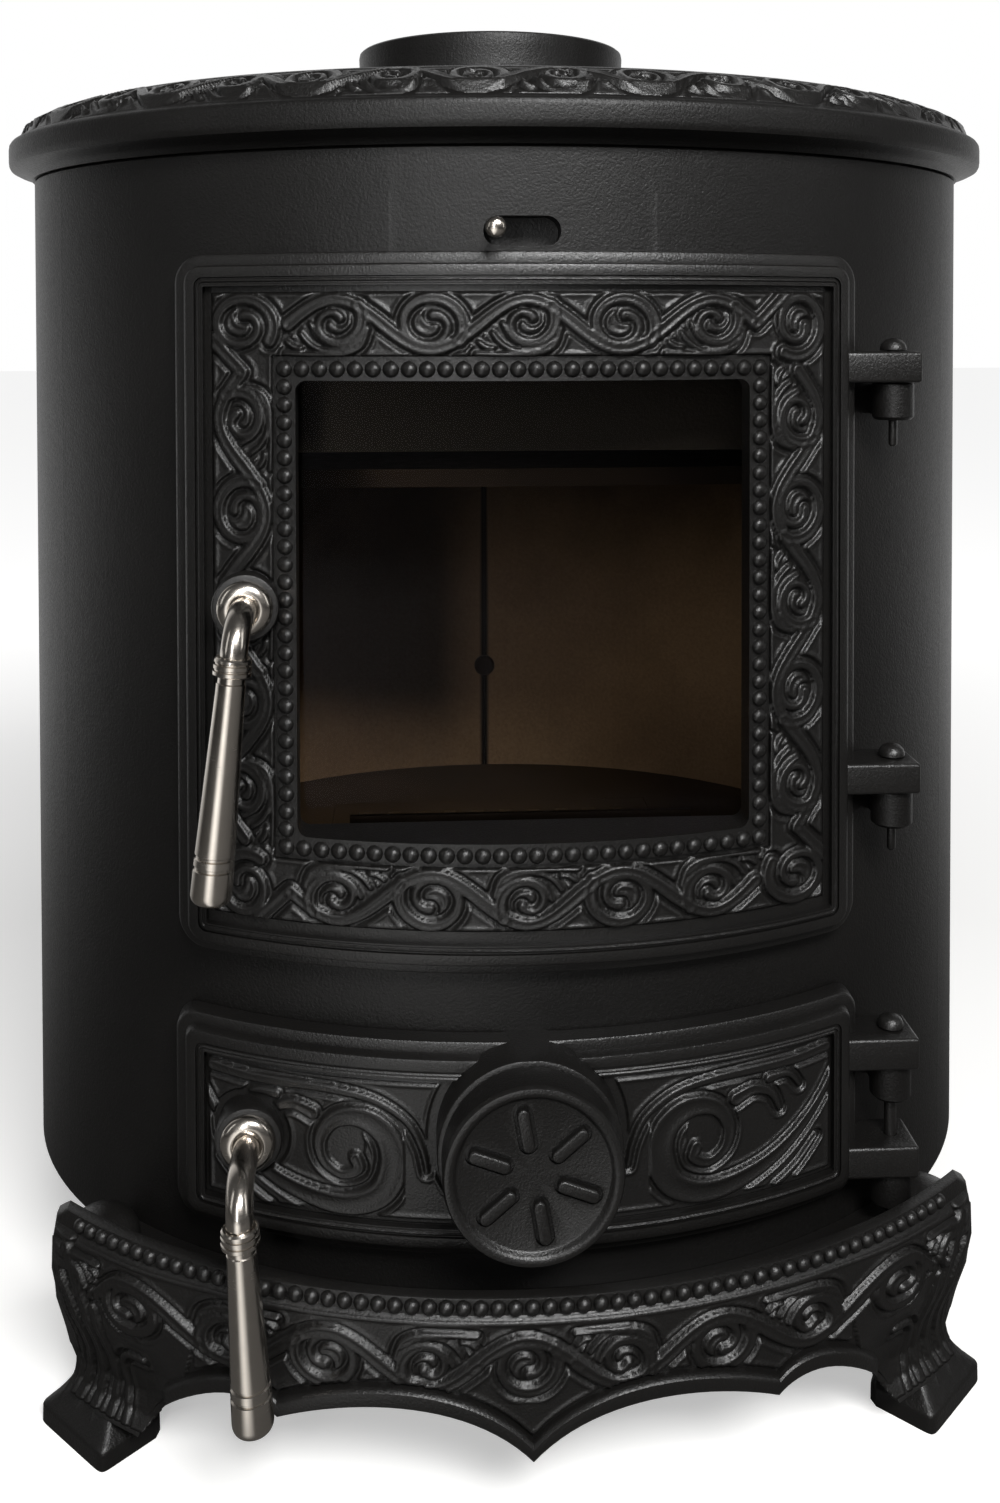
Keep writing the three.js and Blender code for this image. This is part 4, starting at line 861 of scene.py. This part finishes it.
# Bright stainless steel, brushed round the bar: fine rings 0.16 mm apart under a soft, near-white
# reflection. The working parts inside are plain dull steel, browned by the heat.
def steel_finish(name, colour, roughness, rings):
    made, tree, skin, spot = new_finish(name)
    stretch = node(tree, "Mapping", {"Vector": spot, "Scale": (120, 120, 1 / (rings * MM))})
    line = node(tree, "TexNoise", {"Vector": stretch.outputs["Vector"], "Scale": 1.0,
                                   "Detail": 2.0})
    cloud = node(tree, "TexNoise", {"Vector": spot, "Scale": 1 / (6 * MM), "Detail": 2.0})
    both = node(tree, "Math", {0: line.outputs["Fac"], 1: cloud.outputs["Fac"]}, operation="ADD")
    gloss = node(tree, "MapRange", {"Value": both.outputs[0], "From Min": 0.6, "From Max": 1.4,
                                    "To Min": roughness - 0.06, "To Max": roughness + 0.08})
    bump = node(tree, "Bump", {"Height": line.outputs["Fac"], "Strength": 0.5,
                               "Distance": 0.012 * MM})
    fill(tree, skin, {"Base Color": linear(colour), "Metallic": 1.0,
                      "Roughness": gloss.outputs["Result"], "Normal": bump.outputs["Normal"]})
    return made


bright_steel = steel_finish("brushed_stainless_steel", "#c9c2b9", 0.2, 0.16)
dull_steel = steel_finish("heat_browned_steel", "#3a3430", 0.42, 0.3)


# The door handles: a bright steel rod bent down from its spindle, a grooved ferrule, and a grip
# that widens to a flat end. Each turns in its door's boss, over a polished rosette that stays on
# the door; the latch tongue and nut inside keep their own solids.
def hang(piece, x, z, lean):
    """Turns a handle piece drawn at the origin about the spindle, and moves it to its door."""
    points = read_points(piece)
    turn = math.radians(lean)
    across = points[:, 0] * math.cos(turn) + points[:, 2] * math.sin(turn)
    points[:, 2] = points[:, 2] * math.cos(turn) - points[:, 0] * math.sin(turn) + z * MM
    points[:, 0] = across + x * MM
    write_points(piece, points)


def handle(name, z, grip_y, ferrule, top, end, lean):
    """One handle. The ferrule's, grip top's and grip end's distances are down from the spindle."""
    door, body = name + "_door", name + "_handle"
    bend, root = 13, 145.6
    bpy.ops.mesh.primitive_circle_add(vertices=32, radius=4.9 * MM, fill_type="NGON",
                                      location=(0, -root * MM, 0), rotation=(math.pi / 2, 0, 0))
    rod = bpy.context.object
    rod.name = body + "_bar"
    settle()
    edit(rod)
    pull(y=grip_y + bend + root)
    bpy.ops.mesh.spin(steps=14, angle=-math.pi / 2, axis=(1, 0, 0),
                      center=(0, (grip_y + bend) * MM, -bend * MM))
    pull(z=bend - top - 3)
    done()
    spindle = turned("spindle", [(0, 127.4), (3.0, 127.4), (3.6, 128), (3.6, 147), (0, 147)],
                     along="Y", steps=24)
    rod = join([rod, spindle], body + "_bar")
    low, high = -ferrule - 3.25, -ferrule + 3.25
    ring = turned(body + "_collar", [
        (5.15, low), (6.3, low), (6.9, low + 0.5), (6.9, low + 1.7), (6.35, low + 2.0),
        (6.35, low + 2.4), (6.8, low + 2.7), (6.8, low + 4.0), (6.3, low + 4.3), (6.3, low + 4.7),
        (6.7, low + 5.0), (6.6, high - 0.6), (6.0, high), (5.15, high)], (0, grip_y, 0), steps=48,
        closed=True)
    length = end - top
    profile = [(0, -top), (4.8, -top), (5.3, -top - 0.5), (5.3, -top - 3)]
    for groove in (17, 13):
        at = -end + groove
        wide = 5.3 + 2.1 * (-top - at) / (length - 7)
        profile += [(wide, at + 0.8), (wide - 0.6, at + 0.4), (wide - 0.6, at - 0.4),
                    (wide + 0.05, at - 0.8)]
    for step in range(9):
        turn = math.radians(step * 90 / 8)
        profile.append((4.6 + 2.8 * math.cos(turn), -end + 3.6 - 3.6 * math.sin(turn)))
    profile += [(3.8, -end + 0.5), (0, -end + 0.5)]
    grip = turned(body + "_taper", profile, (0, grip_y, 0), steps=48)
    for piece, stands_for in ((rod, "_rod"), (ring, "_ferrule"), (grip, "_grip")):
        hang(piece, HANDLE_X, z, lean)
        finished(piece, bright_steel, body, "satin_steel", body + stands_for, crease=38)
    rosette = turned(name + "_rosette_ring", [
        (5.05, 170.4), (10.3, 170.4), (10.3, 171.4), (9.9, 172.6), (9.0, 173.5), (7.9, 174.1),
        (6.8, 174.4), (5.6, 174.5), (5.05, 174.2)], (HANDLE_X, 0, z), along="Y", closed=True)
    finished(rosette, bright_steel, door, "satin_steel", name + "_handle_rosette", crease=38)


handle("fire", FIRE_HANDLE_Z, grip_y=-193.6, ferrule=16, top=21.5, end=100, lean=5.7)
handle("ash", ASH_HANDLE_Z, grip_y=-202.6, ferrule=15, top=20.5, end=84, lean=-3.5)

# The ash door: a low iron door with the same stepped rim, cast to the drum's curve. A big leafed
# scroll fills the field each side of a round seat, in which a hub on three spokes holds the
# threaded stem of the air wheel. It hangs on one long pin.
ASH_DOOR_HALF, ASH_DOOR_HEAD = 133.4, 171
WHEEL_Z = 138
SEAT_RADIUS = 28.6
ash_door = framed_door("ash_door_casting", (-ASH_DOOR_HALF, 91.8),
                       (ASH_DOOR_HALF, ASH_DOOR_HEAD), 9)
cut(ash_door, rope_groove((-127.4, 94), (127.4, 168.8), 5))
on_the_drum(ash_door, ASH_DOOR_HALF)
seat_ring = turned("seat", [
    (0, 160), (33.6, 160), (33.6, 193.4), (33.2, 194.3), (32.4, 194.7), (29.4, 194.7),
    (SEAT_RADIUS, 194), (0, 194)], (0, 0, WHEEL_Z), along="Y", steps=72)
cut(seat_ring, block("c", (-60, 60), (-300, -100), (ASH_DOOR_HEAD, 200)))
cut(ash_door, seat_ring, "UNION")
cut(ash_door, plug(SEAT_RADIUS, 100, 200, (0, 0, WHEEL_Z), along="Y", steps=72))
hub = turned("hub", [(0, 169.4), (9, 169.4), (9, 176), (8.4, 176.6), (0, 176.6)], (0, 0, WHEEL_Z),
             along="Y", steps=36)
for turn in (0, 120, 240):
    spoke = block("spoke", (-3.5, 3.5), (-176.2, -169.6), (5, 31))
    hang(spoke, 0, WHEEL_Z, turn)
    cut(hub, spoke, "UNION")
cut(ash_door, hub, "UNION")
cut(ash_door, plug(4.3, 100, 200, (0, 0, WHEEL_Z), along="Y", steps=28))
handle_boss(ash_door, ASH_HANDLE_Z)
lugged(ash_door, ASH_LUGS, 12.5)
finished(ash_door, carved_iron, "ash_door", "cast_iron", "ash_door_panel")

# The carving on the ash door, drawn for the left half about the eye of its scroll and mirrored:
# a horn that swells and winds into the eye, and four leaves that spring from it.
EYE = (-64, 127)
horn = spline([(-62, 27), (-52, 9), (-38, -5), (-22, -13.5), (-4, -17), (9.5, -12.5), (14.8, -1.5),
               (12.2, 9.6), (3.4, 15.6), (-6.6, 14.2), (-12.2, 6.6), (-11, -1.6), (-4.6, -6),
               (1.6, -3.6), (0.6, 0.4)], 1, 1)
horn[:, 2] = np.interp(np.linspace(0, 1, len(horn)), [0, 0.12, 0.27, 0.42, 0.55, 0.68, 0.84, 1],
                       [1.0, 2.4, 4.4, 5.6, 4.6, 2.9, 2.1, 2.5])
ash_strokes = [
    horn,
    spline([(-54, 27), (-40, 25.6), (-26, 25.4), (-8, 25), (8, 22.2), (19.6, 15), (25, 5.6),
            (27, -3)], 2.3, 1.1),
    spline([(-15.4, 15.6), (-23, 17.8), (-30, 14.6), (-33.4, 8)], 2.9, 1.1),
    spline([(-29, 20.4), (-37, 20.6), (-42, 15)], 1.9, 1.0),
    spline([(-31, -22), (-41, -15.4), (-49.4, -7)], 1.7, 1.1),
]


def ash_heights(x, z):
    near, top = measured(-np.abs(x) - EYE[0], z - EYE[1], ash_strokes)
    from_wheel = np.hypot(x, z - WHEEL_Z) - 35.2
    from_handle = np.hypot(x - HANDLE_X, z - ASH_HANDLE_Z) - 13.4
    edges = [121.2 - np.abs(x), z - 104.6, 158.2 - z, from_wheel, from_handle]
    heights = carved(near, top, np.min(edges, 0) - 1.6)
    in_the_eye = np.hypot(np.abs(x) - 68, z - 132) < 8.4
    return np.where(in_the_eye, np.minimum(heights, top), heights)


def ash_field(x, z):
    beside_handle = np.hypot(x - HANDLE_X, z - ASH_HANDLE_Z) > BOSS_SPACE
    return beside_handle & (np.hypot(x, z - WHEEL_Z) > 30.5)


ash_scroll = relief("ash_door_scroll", (-121, 104.2), (121, 158.6), 0.55, ash_heights, 10.55, 2.3,
                    keep=ash_field)
press_front(ash_scroll)
finished(ash_scroll, carved_iron, "ash_door", "cast_iron", crease=180)

# The air wheel: a round iron knob with a rolled rim and a flat face, in which six ribs stand each
# in its own hollow, as finger grips. It spins on the bush that screws along the stem.
wheel = turned("air_wheel_casting", [
    (0, 208.1), (26.6, 208.1), (27.3, 208.5), (27.8, 209.4), (28.7, 210.3), (30, 210.6),
    (31.2, 210.2), (31.9, 209), (32, 207.6), (32, 196), (31.5, 195.3), (30.8, 195.2), (28.4, 195.2),
    (28.4, 204.6), (11.6, 204.6), (11.6, 197.2), (8.6, 197.2), (8.6, 204.4), (0, 204.4)],
    (0, 0, WHEEL_Z), along="Y", steps=96)


def spread_ribs(name, radius, length, inner, front, back):
    """Six flat bars with round ends, spread like spokes over the wheel's face."""
    bars = []
    low, high = (-radius, inner), (radius, inner + length)
    for turn in range(-10, 350, 60):
        bar = rounded_slab(name, low, high, radius * 0.98, front, back)
        hang(bar, 0, WHEEL_Z, turn)
        bars.append(bar)
    return bars


cut(wheel, join(spread_ribs("c", 3.5, 18, 7.5, -212, -206.9), "c"))
ribs = spread_ribs("rib", 2.2, 15.4, 8.8, -210.4, -206.6)
for rib in ribs:
    changed(rib, "BEVEL", width=1.7 * MM, segments=4, angle_limit=math.radians(60))
wheel = join([wheel] + ribs, "air_wheel_casting")
finished(wheel, carved_iron, "air_wheel", "cast_iron", "air_wheel", crease=35)

# The air slide over the fire door: a small bright steel knob on the shank of a plate that slides
# on two rails behind the drum's wall. Pushed along, it uncovers the slot.
knob = turned("air_slide_ball", [
    (0, 193.1), (2.2, 192.9), (3.2, 192.2), (3.7, 191.2), (3.8, 188.9), (3.2, 187.7), (1.9, 187.1),
    (1.9, 189), (0, 189)], (-11.6, 0, 468.35), along="Y", steps=28)
finished(knob, bright_steel, "air_slide", "satin_steel", "air_slide_knob", crease=40)

# The front skirt: one iron casting with the two front legs, set out from the drum under the ash
# door and fixed to it by a shelf and a flange. Its lower edge falls to a point in the middle, with
# two arches each side; above a lip runs the scroll, and a bead row under the top edge.
def bezier(a, b, c, d, count=14):
    """Points along a curve from a to d that leaves towards b and arrives from c."""
    t = np.linspace(0, 1, count, endpoint=False)[:, None]
    a, b, c, d = (np.array(p, float) for p in (a, b, c, d))
    return (1 - t) ** 3 * a + 3 * (1 - t) ** 2 * t * b + 3 * (1 - t) * t * t * c + t ** 3 * d


CUSP = (91, 43)  # between the wide middle arch and the small one that runs into the leg
edge = np.vstack([bezier((0, 33.5), (22, 56.5), (60, 56.5), CUSP, 22),
                  bezier(CUSP, (100, 51), (125, 54), (146, 14), 18),
                  [(146, 14), (165, 14)]])
lower = np.vstack([edge[::-1] * (-1, 1), edge[1:]])
SKIRT_BACK = 26.5  # out from the drum's face, as are the steps of the skirt's front


def front_slab(name, outline, steps):
    """A flat solid of any outline (x, z), from the skirt's back out through the given steps."""
    piece = drawn(name, [(x, -SKIRT_BACK, z) for x, z in outline], closed=True)
    edit(piece)
    bpy.ops.mesh.edge_face_add()
    pull(y=SKIRT_BACK - steps[0][1])
    plate_steps(steps)
    done()
    return piece


def knee(piece):
    """Bends the ends of a flat skirt piece, y = -out, in and out as the legs' fronts go."""
    points = read_points(piece) / MM
    share = np.clip((np.abs(points[:, 0]) - 112) / 42, 0, 1)
    bend = np.interp(points[:, 2], [0, 8, 14, 21, 28, 38, 52, 66, 78, 88],
                     [5.5, 4.5, -1.5, -7, -8.5, -6, -0.5, 2.4, 2, 0])
    points[:, 1] -= bend * share * share * (3 - 2 * share)
    write_points(piece, points * MM)


END = 179.5  # half-width of the skirt at its foot
ends = [(END, 28.5), (END + 2.0, 40), (END + 3.4, 52), (END + 3.4, 78), (END + 2.2, 86),
        (END - 3, 90.5)]
outline = list(lower) + ends + [(-x, z) for x, z in ends[::-1]]
skirt = front_slab("front_skirt_casting", outline, [(0, 30), (0.4, 30.8), (1.0, 31)])
STRIP = 4
in_strips(skirt, -180, 184, STRIP)
in_strips(skirt, 16, 89, STRIP, axis=2)
knee(skirt)
press_front(skirt)
LIP_HALF, LIP_HEIGHT = 138, 7
lip_foot = lower[np.abs(lower[:, 0]) < LIP_HALF]
lip_outline = list(lip_foot) + list(lip_foot[::-1] + (0, LIP_HEIGHT))
lip = front_slab("lip", lip_outline, [(0, 33.4), (0.5, 34.8), (1.2, 35.4), (2.0, 35.5)])
in_strips(lip, -136, 140, STRIP)
knee(lip)
press_front(lip)
shelf = bowed("shelf", [(0.3, 68), (27.5, 68), (27.5, 73), (0.3, 73)], -47, 47)
flange = bowed("flange", [(-22, 54.7), (27.5, 54.7), (27.5, 61.7), (-22, 61.7)], -47, 47)
cut(shelf, flange, "UNION")
LEG_X, LEG_Y, LEG_BACK = 165, 147, 14


def at_corner(points, side_x, side_y):
    """Takes points in millimetres, drawn with the leg's outer face on +Y, to the leg's corner."""
    turn = math.atan2(side_y, side_x) - math.pi / 2
    swing = np.array([[math.cos(turn), math.sin(turn), 0], [-math.sin(turn), math.cos(turn), 0],
                      [0, 0, 1]])
    return (points @ swing + (side_x * LEG_X, side_y * LEG_Y, 0)) * MM + (0, SHIFT, 0)


def leg(name, side_x, side_y):
    """A cabriole leg: rings from the square foot up to the rounded head, fluted on the outside."""
    half = np.vstack([[(21.5, 0)], bezier((21.5, 7), (12.5, 16.2), (12.5, 27), (17, 54)),
                      bezier((17, 54), (19, 70), (14, 87), (9, 87)), [(9, 87)]])
    side = np.vstack([[(14.5, 0)], bezier((14.5, 7), (4.5, 16.2), (2.5, 27), (12, 52)),
                      bezier((12, 52), (16, 66), (13, 87), (8, 87)), [(8, 87)]])
    levels = np.concatenate([[0, 0.4, 1.2], np.arange(2, 86, 0.9), [86.2, 86.7, 87]])
    turns = np.radians(np.concatenate([np.arange(0, 180, 1.6), np.arange(180, 360, 12)]))
    aside, outward = np.cos(turns), np.sin(turns)
    square = np.interp(levels, [0, 7, 20, 40, 87], [14, 12, 4.2, 2.7, 2.3])[:, None]
    round_top = np.sqrt(1 - np.clip((levels - 78) / 9.05, 0, 1) ** 2)[:, None]
    wide = np.interp(levels, half[:, 1], half[:, 0])[:, None] * round_top
    reach = np.interp(levels, side[:, 1], side[:, 0])[:, None]
    deep = (reach + LEG_BACK) / 2 * round_top
    size = (np.abs(aside) ** square + np.abs(outward) ** square) ** (-1 / square)
    across = aside * size
    flutes = np.clip((levels - 9) / 9, 0, 1) * np.clip((79 - levels) / 16, 0, 1)
    waves = np.sqrt(np.abs(np.sin(np.pi * 1.75 * (across + 0.16 * side_x))))
    groove = 1.7 * flutes[:, None] * waves * np.clip((outward + 0.1) / 0.25, 0, 1)
    x = wide * across - np.sign(across) * groove * np.clip(np.abs(across) * 4 - 3, 0, 1)
    y = (reach - LEG_BACK) / 2 + deep * outward * size - groove * (outward > 0)
    z = levels[:, None] + 0 * x
    rings, count = x.shape
    spots = at_corner(np.stack([x, y, z], 2).reshape(-1, 3), side_x, side_y)
    faces = [(k * count + i, k * count + (i + 1) % count, (k + 1) * count + (i + 1) % count,
              (k + 1) * count + i) for k in range(rings - 1) for i in range(count)]
    faces += [tuple(range(count))[::-1], tuple((rings - 1) * count + i for i in range(count))]
    mesh = bpy.data.meshes.new(name)
    mesh.from_pydata(spots.tolist(), [], faces)
    piece = bpy.data.objects.new(name, mesh)
    bpy.context.scene.collection.objects.link(piece)
    cut(piece, oval_block("space", 0.3, 61.8, 100))
    return piece


def arm(side):
    """The flat arm by which a rear leg reaches in under the drum."""
    outline = [(-8, 61.7), (-46, 61.7), (-46, 54.7), (-14, 44.2), (-8, 44.2)]
    piece = drawn("arm", [(-14, y, z) for y, z in outline], closed=True)
    edit(piece)
    bpy.ops.mesh.edge_face_add()
    pull(x=28)
    done()
    write_points(piece, at_corner(read_points(piece) / MM, side, 1))
    return piece


skirt = join([skirt, lip, shelf, leg("leg", -1, -1), leg("leg", 1, -1)], "front_skirt_casting")
finished(skirt, carved_iron, "stove", "cast_iron", "front_skirt")
for name, side in (("rear_leg_left", -1), ("rear_leg_right", 1)):
    rear_leg = join([leg(name + "_casting", side, 1), arm(side)], name + "_casting")
    finished(rear_leg, carved_iron, "stove", "cast_iron", name)

# The carving on the skirt: a scroll that starts from a crown in the middle and runs out to both
# sides, mirrored, and long flutes that flow down into the legs.
SKIRT_OUT = 31
_, arc_x, arc = round_lengths(SKIRT_OUT, 1.2, 2401)
MIDDLE = -2.2  # the crown stands a little left of the skirt's point
SPIRALS = [0, 35.4, 73.5, 112, 158, 185]  # lengths from the middle to each spiral's eye
SKIRT_PITCH = 37
skirt_vine = vine(5, SKIRT_PITCH, 0.97)
crown = np.arange(-0.5 * SKIRT_PITCH, 0.55 * SKIRT_PITCH, 1.2)
crown = np.stack([crown, -8.8 * np.cos(np.pi * crown / SKIRT_PITCH), 0 * crown + 2.3], 1)
leg_strands = [
    spline([(197, 75), (190, 64), (185.4, 50), (184.4, 36), (189, 15)], 2.5, 2.0),
    spline([(188.4, 79), (181.4, 66), (178, 50), (177.4, 34), (180, 15)], 2.5, 2.0),
    spline([(173.6, 60), (171.8, 46), (170.6, 32), (171, 15)], 2.3, 1.9),
    spline([(152, 44.5), (160, 44), (164.4, 38), (164.6, 28), (162.6, 15)], 1.8, 1.7),
    spline([(186, 82.6), (199.5, 80), (203, 66), (198.6, 52), (194.4, 38), (198, 15)], 1.5, 1.5),
]


def skirt_heights(u, z):
    x = np.abs(np.interp(u, arc / MM, arc_x / MM))
    side = np.sign(u - MIDDLE)
    along = np.interp(np.abs(u - MIDDLE), SPIRALS, np.arange(6) * SKIRT_PITCH)
    v = 67.2 - z
    near, top = merged(measured(along, v, skirt_vine[1:] + [crown]),
                       measured(side * along, v, skirt_vine[:1]),
                       measured(np.abs(u), z, leg_strands))
    arches = edge[:34]
    foot = np.interp(x, arches[:, 0], arches[:, 1]) + 8.2
    foot = np.where(x > 122, np.interp(x, [122, 136], [foot.max(), 12]), foot)
    border = np.min([83.2 - z, z - foot, 181 - x], 0)
    fade = np.clip((181.5 - x) / 6, 0, 1) * np.clip((z - 13.5) / 9, 0, 1)
    return np.where(border > 0, carved(near, top, border) * fade, 0)


def skirt_face(u, z):
    x = np.abs(np.interp(u, arc / MM, arc_x / MM))
    foot = np.interp(x, edge[:, 0], edge[:, 1])
    side = np.interp(z, [28, 40, 52, 78, 86], [178.6, 180.4, 181.8, 181.8, 180.6])
    return (z > foot + np.where(x < LIP_HALF, 5.5, 1)) & (x < side)


skirt_scroll = relief("front_skirt_scroll", (-208, 15), (208, 84.2), 0.7, skirt_heights, 31.05,
                      2.7, keep=skirt_face)
knee(skirt_scroll)
wrap_round(skirt_scroll, SKIRT_OUT)
finished(skirt_scroll, carved_iron, "stove", "cast_iron", crease=180)
skirt_beads = bead_row("front_skirt_beads", [(k * 6.1, 87) for k in range(-30, 30)], 5.9, 30.8)
wrap_round(skirt_beads, SKIRT_OUT)
finished(skirt_beads, carved_iron, "stove", "cast_iron", crease=60)

# The fire side: firebricks the colour of sand that line the back and sides, cast to size; one
# bolt keeps the two rear ones against the drum. Painted shade darkens them towards the top, in
# cloudy patches, and the joint between the rear two is dark.
def brick_finish():
    made, tree, skin, spot = new_finish("firebrick_with_painted_shade")
    grit = node(tree, "TexNoise", {"Vector": spot, "Scale": 1 / (1.8 * MM), "Detail": 5.0,
                                   "Roughness": 0.65})
    cloud = node(tree, "TexNoise", {"Vector": spot, "Scale": 1 / (70 * MM), "Detail": 4.0})
    height = node(tree, "SeparateXYZ", {"Vector": spot})
    # Painted shade: from about 260 mm to 380 mm up, the bricks are mixed more and more towards
    # near-black, in cloudy patches.
    painted_shade_towards_top = node(tree, "MapRange", {"Value": height.outputs["Z"], "From Min": 260 * MM,
                                   "From Max": 380 * MM, "To Min": -0.45, "To Max": 0.45})
    painted_shade_in_patches = node(tree, "Math", {0: painted_shade_towards_top.outputs["Result"], 1: cloud.outputs["Fac"]},
                  operation="ADD", use_clamp=True)
    grain = node(tree, "Mix", {0: grit.outputs["Fac"], 6: linear("#8a7560"),
                               7: linear("#c4ad90")}, data_type="RGBA")
    side = node(tree, "Math", {0: height.outputs["X"]}, operation="ABSOLUTE")
    joint = node(tree, "MapRange", {"Value": side.outputs[0], "From Min": 1.2 * MM,
                                    "From Max": 3.2 * MM, "To Min": 1.0, "To Max": 0.0})
    painted_shade_and_joint = node(tree, "Math", {0: painted_shade_in_patches.outputs[0], 1: joint.outputs["Result"]},
                operation="MAXIMUM", use_clamp=True)
    # The brick colour is mixed towards near-black by the painted shade and by the dark joint.
    brick_with_painted_shade = node(tree, "Mix", {0: painted_shade_and_joint.outputs[0], 6: grain.outputs[2],
                                7: linear("#0c0a09")}, data_type="RGBA")
    bump = node(tree, "Bump", {"Height": grit.outputs["Fac"], "Strength": 0.8,
                               "Distance": 0.35 * MM})
    fill(tree, skin, {"Base Color": brick_with_painted_shade.outputs[2], "Normal": bump.outputs["Normal"],
                      "Roughness": 0.92, "Specular IOR Level": 0.25})
    return made


firebrick = brick_finish()


# The seals: round glass-fibre rope, plaited, in a groove at the back of each door and round the
# pane, greyed by smoke. Two sets of waves 1.2 mm apart cross at a slant, as the strands do, and
# the grooves between them are darkened with painted shade.
WAVE_TO_MM = 6.3  # a wave texture's bands repeat this many times in its own unit


def rope_finish():
    made, tree, skin, spot = new_finish("plaited_glass_fibre_rope")
    lean = node(tree, "Mapping", {"Vector": spot, "Rotation": (0.6, 0.7, 0.6)})
    strands = {"Vector": lean.outputs["Vector"], "Scale": 1 / (WAVE_TO_MM * 1.2 * MM),
               "Distortion": 1.5, "Detail": 1.0}
    one = node(tree, "TexWave", strands)
    two = node(tree, "TexWave", strands, bands_direction="Z")
    plait_height_and_shade = node(tree, "Math", {0: one.outputs["Fac"], 1: two.outputs["Fac"]},
                 operation="MAXIMUM")
    # Painted shade: the low grooves of the plait take the dark colour, and the strands' tops take
    # the smoke-grey.
    tint = node(tree, "Mix", {0: plait_height_and_shade.outputs[0], 6: linear("#26231f"), 7: linear("#7d776c")},
                data_type="RGBA")
    bump = node(tree, "Bump", {"Height": plait_height_and_shade.outputs[0], "Strength": 1.0,
                               "Distance": 0.4 * MM})
    fill(tree, skin, {"Base Color": tint.outputs[2], "Normal": bump.outputs["Normal"],
                      "Roughness": 0.95})
    return made


seal_rope = rope_finish()


# The pane: clear heat-proof glass, 4 mm thick, faintly smoked in cloudy patches. It lets light
# straight through, so the bricks show, and mirrors a little at its surface.
def glass_finish():
    made, tree, skin, spot = new_finish("faintly_smoked_stove_glass")
    tree.nodes.remove(skin)
    haze = node(tree, "TexNoise", {"Vector": spot, "Scale": 1 / (60 * MM), "Detail": 4.0})
    tint = node(tree, "Mix", {0: haze.outputs["Fac"], 6: linear("#dcd7d0"),
                              7: linear("#efebe6")}, data_type="RGBA")
    clear = node(tree, "BsdfTransparent", {"Color": tint.outputs[2]})
    mirror = node(tree, "BsdfGlossy", {"Color": linear("#4c4c50"), "Roughness": 0.03})
    edge_on = node(tree, "Fresnel", {"IOR": 1.45})
    both = node(tree, "MixShader", {0: edge_on.outputs[0], 1: clear.outputs[0],
                                    2: mirror.outputs[0]})
    fill(tree, tree.nodes["Material Output"], {"Surface": both.outputs[0]})
    return made


stove_glass = glass_finish()

# The other pieces inside keep their solids as they are: plain castings, cut bricks, bent plates,
# ropes, pins and nuts, which only take the finish of what they are made of. The floor of the fire
# and its fence are dulled by brown ash; what isn't named here is browned steel.
ash_dusted = iron_finish("ash_dusted_casting", "#4e4438", 1.6, 0.8, 0.25, 0.1)
MADE_OF = [
    (plain_iron, ["air_slide_plate", "floor_plate", "air_wash_lintel"]),
    (ash_dusted, ["fire_fence", "hearth_plate", "grate"]),
    (firebrick, ["side_brick_left", "side_brick_right", "rear_brick_left", "rear_brick_right"]),
    (seal_rope, ["fire_door_rope", "ash_door_rope", "glass_gasket"]),
    (stove_glass, ["glass"]),
]
for name, item in nodes.items():
    finish = next((made for made, names in MADE_OF if name in names), dull_steel)
    item.data.materials.clear()
    item.data.materials.append(finish)
